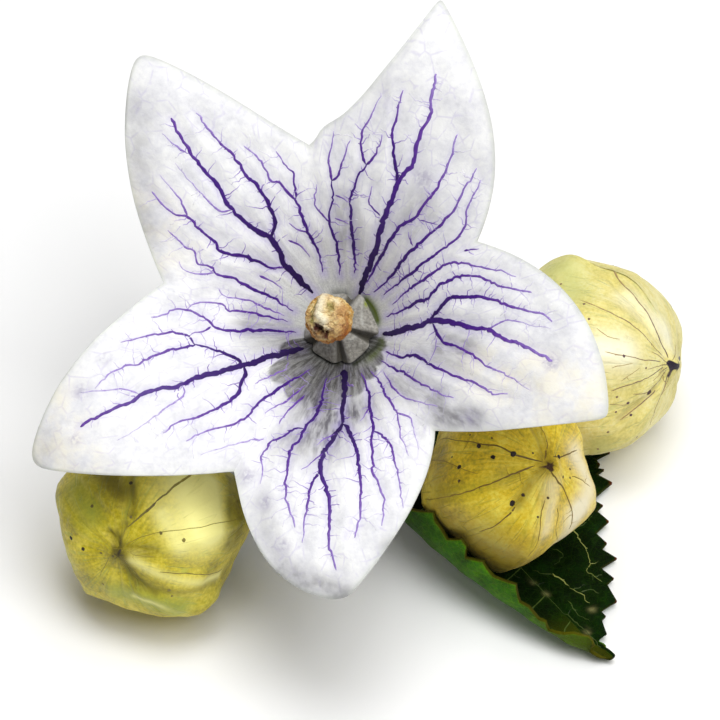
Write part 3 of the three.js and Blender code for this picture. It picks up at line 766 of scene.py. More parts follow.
def petalTints(place, piece, fields):
    # haze by the veins, painted shadow and painted shade by the throat, cream and blotches, kept at each
    # point
    back = place.inverted()
    hazes, warms, petalShades, rays = [], [], [], []
    for vertex in piece.data.vertices:
        spot = back @ (vertex.co / mm)
        flat = Vector((spot.x, spot.y, 0))
        radius = flat.length
        degrees = math.degrees(math.atan2(spot.y, spot.x)) % 360
        turn = math.radians(degrees)
        away, width, ink = nearVeins(flat)
        haze = ink * math.exp(-((away / (0.22 + 0.9 * width)) ** 2))
        blotch = 0.0
        for reach, angle, size in petalBlotches:
            gap = (flat - polar(reach, angle).to_3d()).length / size
            blotch = max(blotch, math.exp(-gap * gap))
        cream = max(smoothStep(a, b, degrees) * smoothStep(d, c, degrees) * smoothStep(near, far, radius)
                    for a, b, c, d, near, far in petalCreams)
        rim = petalRim.find(flat)[2]
        shade, line, olive = [fields[kind](vertex.co / mm) for kind in ("shade", "line", "olive")]
        # vein haze, painted shadow below the dome, and blotches
        hazes.append((haze, throatShadowAt(radius, degrees), blotch))
        warms.append((cream, olive, math.exp(-(rim / 0.28) ** 2)))
        # painted shade: grey of the bowl's inner walls towards the throat, then the line and shade marks
        petalShades.append((smoothStep(9.5, 3.5, radius), line, shade))
        rays.append((math.cos(turn) * 14, math.sin(turn) * 14, radius * 0.55))
    writeColours(piece, "haze", hazes)
    writeColours(piece, "warm", warms)
    writeColours(piece, "deep", petalShades)
    writeVectors(piece, "rays", rays)


def petalGround(paint):
    # the petals' colour with its painted shade and painted shadow, without the veins
    rays = paint.vector("rays")
    haze, throatShadow, blotch = [paint.channel("haze", index) for index in range(3)]
    cream, olive, rim = [paint.channel("warm", index) for index in range(3)]
    bowlShade, line, shade = [paint.channel("deep", index) for index in range(3)]
    mottle = paint.noise(0.45, 4)
    fine = paint.noise(2.2, 5)
    grain = paint.noise(7.0, 2)
    streak = paint.noise(1.6, 3, rays)
    ground = paint.ramp(mottle * 0.5 + fine * 0.3 + streak * 0.2,
                        (0.3, tone("d6d6db")), (0.45, tone("e9e9ec")), (0.57, tone("f6f6f5")))
    net = paint.step(paint.edges(1.0, rays), 0.07, 0.0) * paint.step(paint.noise(0.9, 2), 0.42, 0.6)
    ground = paint.mix(net * 0.3, ground, tone("b9b0da"))
    ground = paint.mix(cream * 0.55 * paint.step(mottle, 0.3, 0.7), ground, tone("f1e9cc"))
    ground = paint.mix(rim * 0.45, ground, tone("c3c9b8"))
    # painted shade of the bowl's inner walls, grey towards the throat
    grey = paint.mix(paint.step(grain * 0.6 + streak * 0.4, 0.35, 0.65), tone("a9ada2"), tone("dde1d6"))
    ground = paint.mix(bowlShade * 0.5, ground, grey)
    # painted shade on the petals' shaded sides, from the shade marks
    ground = paint.mix(shade * (0.6 + 0.5 * paint.step(streak, 0.35, 0.65)), ground, tone("66646a"))
    ground = paint.mix(haze * 0.5, ground, tone("a48fe0"))
    ground = paint.mix(blotch * paint.step(fine, 0.35, 0.6) * 0.6, ground, tone("8d84a8"))
    # the grey-brown of the painted shadow below the dome
    dark = paint.mix(paint.step(grain, 0.35, 0.65), tone("32302d"), tone("4e4c48"))
    ground = paint.mix(throatShadow * (0.65 + 0.3 * paint.step(streak, 0.35, 0.65)), ground, dark)
    # green-olive tint, and painted shade where it runs along the lower right scale's edge
    ground = paint.mix(olive, ground, tone("5a6a10"))
    # painted shade along the dome's rim, from the line marks
    ground = paint.mix(line, ground, tone("20260a"))
    height = fine * 0.5 + grain * 0.2 + paint.noise(3.0, 2, rays) * 0.5
    return ground, height


def petalPaint():
    paint = Paint("petalWhite", Roughness=0.55, Specular_IOR_Level=0.35, Sheen_Weight=0.12)
    ground, height = petalGround(paint)
    return paint.finish(Base_Color=ground, Normal=paint.bump(height, 0.07, 0.7),
                        Roughness=0.48 + 0.2 * paint.noise(1.5, 2))


def inkPaint(name, groundOf, inks, low=0.22):
    # veins: the same ground at their rims, and ink along their middles
    paint = Paint(name, Roughness=0.5, Specular_IOR_Level=0.35)
    ground, height = groundOf(paint)
    depth = paint.channel("ink", 0)
    strength = paint.channel("ink", 1)
    ragged = paint.noise(3.0, 3)
    strong = strength + (ragged - 0.5) * 0.25
    line = paint.ramp(strong, *inks)
    cover = paint.step(depth + (ragged - 0.5) * 0.3, low, 0.6) * paint.step(strong, 0.0, 0.32)
    return paint.finish(Base_Color=paint.mix(cover, ground, line), Normal=paint.bump(height, 0.04, 0.5))


bloomPlace = placement(bloom)
ballRows = bloom["topRows"] + 1 + bloom["underRows"]
corolla = shapeBall("bloom_corolla_petals", len(columnsAround), ballRows, corollaPoint, bloomPlace)
bpy.ops.object.shade_smooth_by_angle(angle=math.radians(60))
petalFields = {kind: softMarks(skinOf(corolla), marks) for kind, marks in petalMarks.items()}
petalTints(bloomPlace, corolla, petalFields)
keep(corolla, ["bloom_corolla"], petalPaint())


def layPetalVeins():
    skin = skinOf(corolla)
    axis = bloomPlace.to_3x3() @ up
    work = VeinWork(skin)
    for width, first, last, route in petalVeins:
        guides = []
        for stop in route:
            flat = polar(*stop)
            spot, normal, face, away = skin.ray_cast(bloomPlace @ Vector((flat.x, flat.y, 30)), -axis)
            if spot:
                guides.append(spot + axis * 0.1)
        if len(guides) > 1:
            wander, spurs, feelers = (0.09, 0.6, 0.5) if width > 0.13 else (0.06, 0.15, 0.25)
            rooted = route[0][0] < 6.3 and first < 1.0
            work.vein(guides, 0.03 + 0.7 * width, (first, last), wander, spurs, feelers,
                      tail=0.36, rooted=rooted)
    return work.piece("bloom_veins")


petalInks = [(0.05, tone("c8bfe4")), (0.28, tone("9c84cc")), (0.45, tone("663c9e")), (0.62, tone("431680")),
             (0.8, tone("2f0a61")), (1.0, tone("1d0740"))]
veins = layPetalVeins()
petalTints(bloomPlace, veins, petalFields)
keep(veins, (), inkPaint("petalInk", petalGround, petalInks))


# rims of three scales of the dome, as picture points
scaleRims = [
    [(355, 306), (362, 299), (378, 320), (362, 324)], [(350, 340), (362, 332), (377, 342), (354, 361)],
    [(312, 349), (330, 342), (339, 360)],
]
dome = {
    "radius": 2.85, "top": 4.0, "gap": 0.12, "rim": 0.22, "groove": 0.22, "sharp": 70,
    "columns": 160, "rows": 80,
    # reach in mm, strength, picture points. light is a painted highlight along the scales' rims
    "folds": [(0.14, 0.10, route) for route in scaleRims],
    "light": [
        (0.16, 0.9, scaleRims[0]), (0.16, 0.9, scaleRims[1] + scaleRims[1][:1]), (0.16, 0.9, scaleRims[2]),
    ],
    "olive": [
        (0.25, 1.0, [(366, 304), (372, 311), (378, 320)]), (0.3, 0.7, [(318, 356), (330, 364), (345, 366)]),
    ],
}
style = {
    "columnRadius": 0.75, "knobRadius": 2.1, "knobHeight": 8.1, "gap": 0.36, "columns": 170, "rows": 130,
    # reach in mm, strength, picture points. cream is the knob's cream ridge, with a painted highlight at
    # (320, 316)
    "folds": [
        (0.34, 0.22, [(325, 296), (321, 304), (319, 314), (324, 320)]),
        (0.30, -0.30, [(315, 300), (313, 307), (310, 320)]), (0.30, -0.28, [(328, 300), (331, 307)]),
        (0.42, -0.7, [(318, 329), (321, 333), (325, 334)]),
        (0.22, 0.14, [(314, 330), (320, 324), (328, 329)]),
        (0.17, 0.13, [(339, 299), (346, 307), (350, 318), (350, 329)]),
        (0.17, 0.13, [(334, 303), (341, 311), (344, 321), (343, 333)]),
        (0.17, 0.13, [(331, 311), (336, 319), (337, 328), (335, 338)]),
        (0.3, -0.16, [(308, 328), (314, 338), (325, 342)]),
    ],
    "cream": [
        (0.36, 1.0, [(325, 296), (321, 304), (319, 314), (324, 320)]), (0.2, 1.0, [(320, 316)]),
        (0.2, 0.6, [(314, 330), (320, 324), (328, 329)]), (0.3, 0.5, [(333, 298), (338, 303)]),
    ],
    "olive": [
        (0.28, 1.0, [(316, 302), (315, 307)]), (0.3, 0.9, [(310, 314), (310, 322)]),
        (0.24, 0.9, [(330, 303), (331, 309)]),
    ],
    "brown": [
        (0.36, 1.2, [(317, 328), (320, 333), (325, 335)]), (0.2, 0.7, [(314, 325), (316, 336), (327, 339)]),
        (0.25, 0.6, [(305, 312), (304, 322), (308, 332)]),
    ],
    "orange": [
        (0.8, 0.9, [(316, 341), (330, 343), (344, 336)]), (0.7, 0.6, [(342, 310), (347, 322), (345, 332)]),
        (0.5, 0.4, [(306, 326), (310, 334)]),
    ],
}


def domeGroove(turn):
    return max(math.cos(turn - math.radians(lobe["tip"])) for lobe in lobes) ** dome["sharp"]


def domeEdge(turn):
    # straight outer edges of the five scales, cut in at the valleys
    nearest = max(math.cos(turn - math.radians(lobe["notch"])) for lobe in lobes)
    return dome["radius"] / max(nearest, 0.8) * (1 - 0.2 * domeGroove(turn))


def domeSeat(radius):
    return loweredHeight(bowlHeight, radius, -dome["gap"])


def domePoint(row, column):
    turn = math.tau * column / dome["columns"]
    rows = dome["rows"]
    groove, edge = domeGroove(turn), domeEdge(turn)
    rim = domeSeat(edge) + dome["rim"]
    crownRows = rows * 3 // 4
    if row <= crownRows:
        out = row / crownRows
        radius = edge * out
        rise = (dome["top"] - rim) * (1 - out ** 1.4)
        height = rim + rise * (1 - 2.4 * dome["groove"] * out * groove) - 0.1 * groove * out
        height += 0.05 * noise.noise(Vector((math.cos(turn) * 4, math.sin(turn) * 4, radius * 2)))
    else:
        radius = edge * (rows - row) / (rows - crownRows)
        height = domeSeat(radius)
    flat = polar(radius, math.degrees(turn))
    return Vector((flat.x, flat.y, height))


def domePaint():
    paint = Paint("filamentGrey", Roughness=0.7, Specular_IOR_Level=0.25, Sheen_Weight=0.25)
    fine = paint.noise(4.0, 5)
    light, olive, groove = [paint.channel("scale", index) for index in range(3)]
    ground = paint.ramp(fine, (0.3, tone("716e67")), (0.5, tone("8f8c84")), (0.72, tone("adaaa0")))
    # painted highlight along the scales' rims
    ground = paint.mix(light * 0.5, ground, tone("d4d5cd"))
    ground = paint.mix(olive, ground, tone("8c9a2c"))
    # painted shade in the grooves between the scales
    ground = paint.mix(paint.step(groove + (fine - 0.5) * 0.3, 0.2, 0.6) * 0.9, ground, tone("4c483c"))
    return paint.finish(Base_Color=ground, Normal=paint.bump(fine + paint.noise(9.0, 2), 0.08, 0.7))


def makeDome():
    piece = shapeBall("bloom_filament_dome", dome["columns"], dome["rows"], domePoint, bloomPlace)
    skin = skinOf(piece)
    light, olive, folds = [softMarks(skin, dome[kind]) for kind in ("light", "olive", "folds")]
    pushSurface(piece, folds)
    back = bloomPlace.inverted()
    scales = []
    for vertex in piece.data.vertices:
        place = vertex.co / mm
        spot = back @ place
        turn = math.atan2(spot.y, spot.x)
        outward = math.hypot(spot.x, spot.y) / domeEdge(turn)
        # painted highlight, olive tint, and painted shade in the grooves between the scales
        scales.append((light(place), olive(place), domeGroove(turn) * smoothStep(0.1, 0.35, outward)))
    writeColours(piece, "scale", scales)
    keep(piece, ["bloom_filaments"], domePaint())


makeDome()


def stylePoint(row, column):
    turn = math.tau * column / style["columns"]
    foot = dome["top"] + style["gap"]
    knobRows = int(style["rows"] * 0.8)
    lastTilt = math.radians(152)
    if row <= knobRows:
        tilt = lastTilt * row / knobRows
        way = Vector((math.sin(tilt) * math.cos(turn), math.sin(tilt) * math.sin(turn), math.cos(tilt)))
        crumple = noise.noise(way * 2.6 + Vector((3, 1, 7))) * 0.07 + noise.noise(way * 6.5) * 0.04
        crumple -= 0.05 * max(0.0, 1 - abs(noise.noise(way * 3.3 + Vector((9, 4, 2)))) * 9)
        dent = 0.05 * abs(math.cos(2.5 * turn)) ** 8 * math.sin(tilt)
        radius = style["knobRadius"] * (0.95 + crumple * smoothStep(0.0, 0.3, math.sin(tilt) + 0.2) - dent)
        spot = way * radius
        return Vector((spot.x, spot.y, style["knobHeight"] + spot.z))
    share = (row - knobRows) / (style["rows"] - knobRows)
    neck = style["knobHeight"] + 0.95 * style["knobRadius"] * math.cos(lastTilt)
    radius = style["columnRadius"] * (1 + 0.3 * (1 - share) ** 2)
    height = blend(neck, foot, min(share * 1.15, 1.0))
    if row == style["rows"]:
        radius = 0
    flat = polar(radius, math.degrees(turn))
    return Vector((flat.x, flat.y, height))


def stylePaint():
    paint = Paint("styleCream", Roughness=0.6, Specular_IOR_Level=0.4)
    fine = paint.noise(5.0, 5)
    broad = paint.noise(0.9, 3)
    cream, olive, brown = [paint.channel("knob", index) for index in range(3)]
    orange, high = [paint.channel("glow", index) for index in range(2)]
    ground = paint.ramp(broad * 0.5 + fine * 0.5,
                        (0.4, tone("9c6220")), (0.5, tone("d8ac58")), (0.6, tone("f2dc9c")))
    # painted light: the knob's top paler
    ground = paint.mix(high * 0.3, ground, tone("f7ebc0"))
    ground = paint.mix(orange * (0.4 + fine * 0.7), ground, tone("a85c16"))
    # cream ridge, and a painted highlight at one point
    ground = paint.mix(cream * (0.6 + fine * 0.6), ground, tone("fdf4d4"))
    ground = paint.mix(olive * 0.9, ground, tone("77762a"))
    ground = paint.mix(brown, ground, tone("4a1a0c"))
    return paint.finish(Base_Color=ground, Normal=paint.bump(fine + 0.6 * paint.noise(9, 3), 0.14, 0.9))


def makeStyle():
    piece = shapeBall("bloom_style_knob", style["columns"], style["rows"], stylePoint, bloomPlace)
    skin = skinOf(piece)
    marks = {kind: softMarks(skin, style[kind]) for kind in ("folds", "cream", "olive", "brown", "orange")}
    back = bloomPlace.inverted()
    knobs, orangeAndTopLights = [], []
    for vertex in piece.data.vertices:
        place = vertex.co / mm
        high = ((back @ place).z - style["knobHeight"]) / style["knobRadius"]
        knobs.append([marks[kind](place) for kind in ("cream", "olive", "brown")])
        # orange tint, and painted light on the knob's top by height
        orangeAndTopLights.append((marks["orange"](place), smoothStep(0.2, 0.9, high), 0))
    writeColours(piece, "knob", knobs)
    writeColours(piece, "glow", orangeAndTopLights)
    pushSurface(piece, marks["folds"])
    keep(piece, ["bloom_style"], stylePaint())


makeStyle()


budShape = {"squareness": 0.86, "corner": 0.12, "sharp": 1.3, "nipple": 0.7, "nippleRadius": 1.1,
            "columns": 240, "rows": 130, "crowding": 1.15,
            "hiddenVeins": 16, "hiddenDots": 30, "turnedAway": 0.12}
# creases that are folded, each also inked as a vein, darkened with painted shade, or both; as picture points
lowUpper = [(535, 466), (515, 473), (500, 480), (480, 487), (460, 494), (440, 498), (425, 500)]
lowFront = [(545, 500), (541, 515), (540, 530), (536, 545), (528, 557), (520, 567), (515, 575)]
lowShade = [(548, 466), (533, 480), (525, 493), (517, 505)]
lowBehind = [(545, 460), (545, 450), (543, 440), (535, 425)]
rightUpper = [(613, 270), (620, 282), (635, 297), (645, 310), (652, 322), (658, 335), (665, 350), (668, 358)]
rightLower = [(620, 420), (635, 408), (648, 398), (655, 390)]
leftTip = [(124, 525), (118, 535), (115, 545)]
# folds, dark, green, highlight and tip: reach in mm, strength, picture points. dark is painted shade, from
# the petals' cast shadows and in the creases, and highlight is painted light on the lit sides and fold tops
# veins: half width, ink at the start and at the end, picture points. dots: picture point, radius, ink
# tones are the colours of the painted shade, the green, the painted highlight and the tip
buds = {
    "bud_left": {
        "centre": (-16.9, -24.2, 7.55), "axis": (-0.377, -0.796, 0.474), "radius": 8.1, "rise": 7.0,
        "depth": 7.2, "calyx": 3.0, "turn": 12, "seed": 3.1, "inkShare": 1.0,
        "colours": ("8c7c00", "c8b614", "eedc4c"), "tones": ("5e5400", "a3ae44", "fff89c", "3a300c"),
        "folds": [
            (0.35, -0.3, [(110, 534), (118, 548)]), (0.35, -0.3, leftTip),
            (0.7, 0.24, [(130, 557), (150, 568), (175, 578), (200, 580)]),
            (0.45, -0.26, [(121, 557), (128, 572), (141, 584), (158, 592)]),
            (0.3, -0.2, [(122, 548), (140, 549), (155, 551)]),
            (0.5, 0.16, [(135, 590), (155, 600), (175, 607), (195, 611)]),
            (0.3, -0.14, [(60, 500), (85, 498)]), (0.3, -0.14, [(60, 516), (75, 518)]),
            (0.3, -0.12, [(100, 529), (110, 534)]), (0.5, 0.16, [(110, 555), (108, 575), (113, 600)]),
            (0.45, 0.3, [(83, 470), (92, 484), (105, 498), (113, 508)]),
            (0.8, -0.25, [(118, 476), (126, 500)]), (0.35, -0.15, [(132, 475), (132, 500), (131, 516)]),
            (2.6, 0.9, [(72, 484), (72, 510), (78, 545)]), (1.2, 0.6, [(204, 602), (210, 596)]),
        ],
        "dark": [
            (1.0, 0.8, [(100, 474), (112, 482), (122, 492)]),
            (0.4, 0.6, [(132, 474), (133, 500), (131, 516)]),
            (0.9, 0.6, [(236, 480), (238, 512), (233, 545)]),
            (0.4, 0.5, [(229, 478), (229, 510), (227, 545)]),
            (0.35, 0.7, [(110, 532), (117, 543), (113, 556)]), (0.4, 0.7, leftTip),
            (0.8, 0.5, [(122, 546), (138, 549), (152, 550)]),
            (0.45, 0.9, [(121, 557), (128, 572), (141, 584), (156, 592)]),
            (0.35, 0.45, [(166, 591), (186, 592), (202, 587), (214, 581)]),
        ],
        "green": [
            (1.3, 0.8, [(68, 478), (80, 492), (92, 512)]), (1.5, 0.5, [(66, 520), (74, 552)]),
            (1.3, 0.9, [(118, 592), (150, 601), (180, 608)]), (0.6, 0.6, [(205, 600), (214, 590)]),
        ],
        "highlight": [
            (2.3, 1.1, [(183, 480), (192, 505), (203, 530)]), (1.0, 1.0, [(212, 482), (212, 530)]),
            (0.45, 1.0, [(132, 559), (160, 573), (195, 581), (218, 575)]),
            (0.8, 0.55, [(160, 515), (180, 548)]), (0.3, 0.7, [(135, 596), (160, 605), (195, 612)]),
        ],
        "tip": [(0.3, 0.9, [(117, 546), (119, 550)])],
        "veins": [
            (0.17, 0.25, 0.75, [(192, 474), (178, 483), (166, 494), (156, 502)]),
            (0.17, 0.75, 0.4, [(156, 502), (150, 508), (138, 519), (128, 527)]),
            (0.09, 0.4, 0.6, [(160, 572), (176, 573), (195, 574), (214, 573), (222, 569), (235, 563)]),
            (0.05, 0.35, 0.3, [(118, 548), (145, 536), (165, 532), (200, 527), (223, 522), (238, 519)]),
            (0.05, 0.4, 0.3, [(118, 548), (135, 555), (155, 557)]),
            (0.05, 0.4, 0.3, [(118, 548), (108, 560), (100, 575)]),
        ],
        "dots": [
            (131, 483, 0.2, 0.9), (92, 506, 0.18, 0.7), (71, 538, 0.24, 1.2), (83, 549, 0.22, 0.9),
            (101, 553, 0.15, 0.6), (113, 556, 0.16, 0.7), (161, 533, 0.18, 0.7), (184, 540, 0.2, 0.5),
            (131, 517, 0.14, 0.6), (169, 590, 0.2, 0.5), (172, 596, 0.14, 0.5), (103, 584, 0.16, 0.5),
        ],
    },
    "bud_low": {
        "centre": (12.2, -20.9, 9.2), "axis": (0.471, -0.391, 0.791), "radius": 7.6, "rise": 6.8,
        "depth": 5.6, "calyx": 1.8, "turn": -18, "seed": 7.7, "inkShare": 0.7,
        "colours": ("a88e08", "ebc91e", "ffec5c"), "tones": ("5c4c00", "a89e14", "fbf0cc", "4a2c0c"),
        "folds": [
            (0.55, -0.4, lowBehind), (0.4, -0.2, lowUpper), (0.4, 0.2, lowFront), (0.45, -0.25, lowShade),
            (0.6, 0.25, [(556, 466), (557, 480), (552, 500)]),
            (0.5, 0.2, [(530, 452), (505, 440), (480, 436)]),
        ],
        "dark": [
            (0.55, 0.7, lowBehind), (0.5, 0.6, lowShade), (2.6, 0.75, [(442, 522), (475, 540), (508, 556)]),
            (1.0, 0.4, [(440, 455), (440, 490)]),
        ],
        "green": [(0.9, 0.5, [(440, 498), (480, 487), (515, 473)]), (1.2, 0.4, [(470, 510), (500, 525)])],
        "highlight": [
            (1.3, 0.95, [(576, 455), (588, 480), (584, 505)]),
            (1.2, 0.9, [(574, 515), (562, 538), (545, 558)]),
            (0.8, 0.6, [(552, 485), (550, 505), (546, 530)]),
        ],
        "tip": [(0.26, 1.0, [(537, 465), (547, 467)]), (0.2, 0.7, [(541, 460), (553, 470)])],
        "veins": [
            (0.1, 0.9, 0.4, [(543, 462), (530, 459), (516, 455), (505, 449), (497, 446), (485, 445),
                (470, 442), (440, 440)]),
            (0.09, 0.8, 0.5, lowUpper), (0.07, 0.5, 0.4, [(432, 460), (450, 463), (465, 470), (478, 474)]),
            (0.10, 0.9, 0.6, [(515, 507), (505, 518), (497, 525), (488, 529), (480, 532)]),
            (0.08, 0.6, 0.5, lowFront),
            (0.12, 0.8, 0.5, [(550, 470), (557, 480), (563, 488), (568, 498), (572, 512), (572, 520),
                (569, 529)]),
            (0.08, 0.6, 0.4, [(557, 508), (558, 517), (556, 530), (557, 540)]),
            (0.11, 0.95, 0.6, [(553, 457), (560, 457), (568, 454), (577, 450), (584, 444), (591, 438)]),
            (0.07, 0.6, 0.4, [(572, 476), (583, 481), (590, 487), (597, 488)]),
            (0.08, 0.7, 0.4, [(545, 460), (547, 448), (545, 436), (538, 424)]),
        ],
        "dots": [
            (479, 446, 0.26, 1), (493, 457, 0.26, 1), (459, 467, 0.26, 1), (512, 503, 0.34, 1.1),
            (513, 454, 0.3, 1), (459, 481, 0.18, 0.8), (523, 495, 0.18, 0.9), (563, 477, 0.18, 0.9),
            (548, 498, 0.18, 0.8), (559, 457, 0.26, 1), (470, 435, 0.12, 0.7), (492, 438, 0.12, 0.7),
            (452, 457, 0.12, 0.7), (533, 453, 0.13, 0.9), (570, 469, 0.12, 0.8), (570, 478, 0.12, 0.8),
            (538, 517, 0.13, 0.8),
        ],
    },
    "bud_right": {
        "centre": (19.9, -6.6, 8.5), "axis": (0.907, -0.347, 0.24), "radius": 9.0, "rise": 7.4,
        "depth": 7.2, "calyx": 3.0, "turn": 20, "seed": 12.4, "inkShare": 0.9,
        "colours": ("cdbf62", "eadc84", "f8efae"), "tones": ("a68f48", "c2c67a", "fffbe2", "1e1026"),
        "folds": [
            (3.6, -1.0, [(604, 262), (626, 274), (650, 292)]), (1.4, 0.5, [(573, 258)]),
            (0.4, -0.3, rightUpper),
            (0.45, -0.22, [(620, 420), (635, 408), (648, 398), (655, 390), (664, 378)]),
            (0.5, 0.2, [(600, 300), (625, 312), (648, 330)]),
            (0.5, 0.2, [(640, 420), (652, 405), (660, 390)]),
        ],
        "dark": [
            (0.3, 0.8, rightUpper), (0.4, 0.5, rightLower),
        ],
        "green": [
            (1.8, 0.9, [(552, 268), (566, 268), (572, 290)]),
            (1.2, 0.7, [(600, 446), (625, 450), (645, 442)]),
        ],
        "highlight": [(1.8, 0.9, [(602, 350), (625, 352)]), (1.3, 0.8, [(630, 292), (655, 312), (670, 335)])],
        "tip": [
            (0.26, 1.1, [(669, 363), (677, 367)]), (0.25, 1.0, [(672, 366), (680, 358)]),
            (0.25, 0.9, [(672, 368), (669, 376)]), (0.22, 0.9, [(672, 364), (667, 353)]),
        ],
        "veins": [
            (0.06, 0.9, 0.5, [(669, 363), (661, 357), (652, 352)]),
            (0.06, 0.9, 0.5, [(668, 365), (659, 366), (648, 369)]),
            (0.05, 0.9, 0.4, [(667, 368), (660, 374), (653, 381)]),
            (0.05, 0.9, 0.4, [(671, 369), (668, 380), (663, 392)]),
            (0.05, 0.9, 0.4, [(672, 360), (675, 353), (676, 345)]), (0.11, 0.5, 0.95, rightUpper),
            (0.08, 0.5, 0.9, [(580, 300), (600, 308), (615, 315), (630, 323), (643, 334), (655, 348),
                (662, 356)]),
            (0.07, 0.5, 0.9, [(605, 352), (615, 354), (625, 356), (635, 358), (645, 360), (660, 362)]),
            (0.06, 0.5, 0.4, [(597, 328), (605, 334), (611, 338), (620, 339)]),
            (0.08, 0.6, 0.95, [(611, 391), (620, 388), (635, 383), (645, 379), (655, 373), (663, 367)]),
            (0.05, 0.5, 0.4, [(612, 368), (617, 366), (625, 365), (633, 363)]),
            (0.05, 0.5, 0.4, [(621, 381), (630, 375), (640, 368)]),
            (0.07, 0.6, 0.9, [(633, 394), (645, 393), (649, 391), (655, 385), (661, 378), (666, 370)]),
            (0.06, 0.5, 0.5, [(610, 404), (625, 405), (629, 404)]), (0.08, 0.5, 0.9, rightLower),
            (0.08, 0.5, 0.95, [(650, 425), (655, 410), (661, 395), (665, 385), (668, 372)]),
        ],
        "dots": [
            (584, 304, 0.15, 0.7), (589, 319, 0.15, 0.7), (624, 356, 0.16, 0.8), (646, 368, 0.14, 0.7),
            (649, 392, 0.3, 0.9), (628, 403, 0.18, 0.8), (649, 430, 0.18, 0.6), (617, 397, 0.14, 0.7),
            (616, 412, 0.14, 0.7), (631, 415, 0.16, 0.8), (608, 432, 0.14, 0.7), (637, 437, 0.14, 0.7),
            (598, 449, 0.14, 0.6), (551, 280, 0.14, 0.6), (561, 284, 0.14, 0.6), (575, 253, 0.14, 0.6),
        ],
    },
}


def budSpot(bud, tilt, turn):
    # tilt runs from the tip (0) to the stalk, and turn from the first seam on
    seam = abs(math.sin(2.5 * turn))
    side = 1 - budShape["corner"] * seam ** budShape["sharp"] + 0.012 * math.exp(-((seam / 0.12) ** 2))
    sine = max(math.sin(tilt), 0.0)
    radius = bud["radius"] * side * sine ** budShape["squareness"]
    level = abs(math.cos(tilt)) ** budShape["squareness"]
    nipple = budShape["nipple"] * math.exp(-((radius / budShape["nippleRadius"]) ** 2))
    height = bud["rise"] * level + nipple if math.cos(tilt) > 0 else -bud["depth"] * level
    flat = polar(radius, math.degrees(turn) + bud["turn"])
    return Vector((flat.x, flat.y, height)), seam


def budDetail(bud, spot, seam):
    # soft dents, and wrinkles that run down from the tip
    seed = Vector((bud["seed"], bud["seed"] * 2, 0))
    turn = math.atan2(spot.y, spot.x)
    radius = math.hypot(spot.x, spot.y)
    fold = noise.noise(Vector((math.cos(turn) * 5, math.sin(turn) * 5, spot.z * 0.15)) + seed)
    dent = noise.noise(spot * 0.28 + seed) * 0.22 + noise.noise(spot * 0.8 + seed) * 0.07
    return (0.16 * fold * smoothStep(0.6, 3.0, radius) + dent * smoothStep(0.5, 3, radius) - 0.12) * 0.8


def budSurface(bud, tilt, turn):
    spot, seam = budSpot(bud, tilt, turn)
    return spot + spot.normalized() * budDetail(bud, spot, seam)


def tintBud(piece, bud, fields):
    # ridges, tip, and soft patches of painted shade, green and painted highlight, kept at each point
    back = placement(bud).inverted()
    seams, patches, rays = [], [], []
    for vertex in piece.data.vertices:
        place = vertex.co / mm
        spot = back @ place
        turn = math.atan2(spot.y, spot.x) - math.radians(bud["turn"])
        radius = math.hypot(spot.x, spot.y)
        ridge = math.exp(-((math.sin(2.5 * turn) * radius / 1.1) ** 2))
        star = abs(math.cos(2.5 * turn)) ** 6
        tip = 0.6 * math.exp(-((radius / (0.3 + 0.5 * star)) ** 2)) if spot.z > 0 else 0.0
        seams.append((ridge * smoothStep(0.5, 3, radius), tip + fields["tip"](place), 0))
        patches.append([fields[kind](place) for kind in ("dark", "green", "highlight")])
        rays.append((math.cos(turn) * 7, math.sin(turn) * 7, spot.z * 0.22 + radius * 0.1))
    writeColours(piece, "seam", seams)
    writeColours(piece, "patch", patches)
    writeVectors(piece, "rays", rays)


def budGround(bud):
    def ground(paint):
        low, midTone, high = [tone(code) for code in bud["colours"]]
        darkTone, greenTone, highlightTone, tipTone = [tone(code) for code in bud["tones"]]
        mottle = paint.noise(0.35, 4)
        fine = paint.noise(3.5, 5)
        ridge, tip = [paint.channel("seam", index) for index in range(2)]
        dark, green, highlight = [paint.channel("patch", index) for index in range(3)]
        warp = paint.node("VectorMath", {"operation": "ADD"}, {0: paint.place, 1: paint.node(
            "TexNoise", None, {"Vector": paint.place, "Scale": 0.9}, "Color")})
        net = paint.step(paint.edges(0.75, warp), 0.06, 0.0) * 0.6
        net = net + paint.step(paint.edges(1.9, warp), 0.05, 0.0) * 0.3
        colour = paint.ramp(mottle * 0.6 + fine * 0.4, (0.35, low), (0.5, midTone), (0.65, high))
        rays = paint.vector("rays")
        threads = paint.step(paint.edges(1.1, rays), 0.06, 0.0) * paint.step(paint.noise(0.8, 2), 0.4, 0.6)
        streak = paint.noise(1.5, 3, rays)
        colour = paint.mix(paint.step(streak, 0.5, 0.7) * 0.35, colour, high)
        colour = paint.mix(net * 0.25, colour, greenTone)
        colour = paint.mix(threads * 0.5, colour, greenTone)
        colour = paint.mix(ridge * 0.12, colour, greenTone)
        colour = paint.mix(green * 0.8, colour, greenTone)
        # painted highlight on the lit sides and fold tops
        colour = paint.mix(highlight * 0.9, colour, highlightTone)
        # painted shade: shadows cast by the petals and shade in the creases
        colour = paint.mix(dark * (0.8 + fine * 0.3), colour, darkTone)
        colour = paint.mix(paint.step(tip + (fine - 0.5) * 0.4, 0.35, 0.75), colour, tipTone)
        return colour, fine * 0.5 - threads * 0.6 + streak * 1.2 + paint.noise(1.4, 3) * 0.6
    return ground


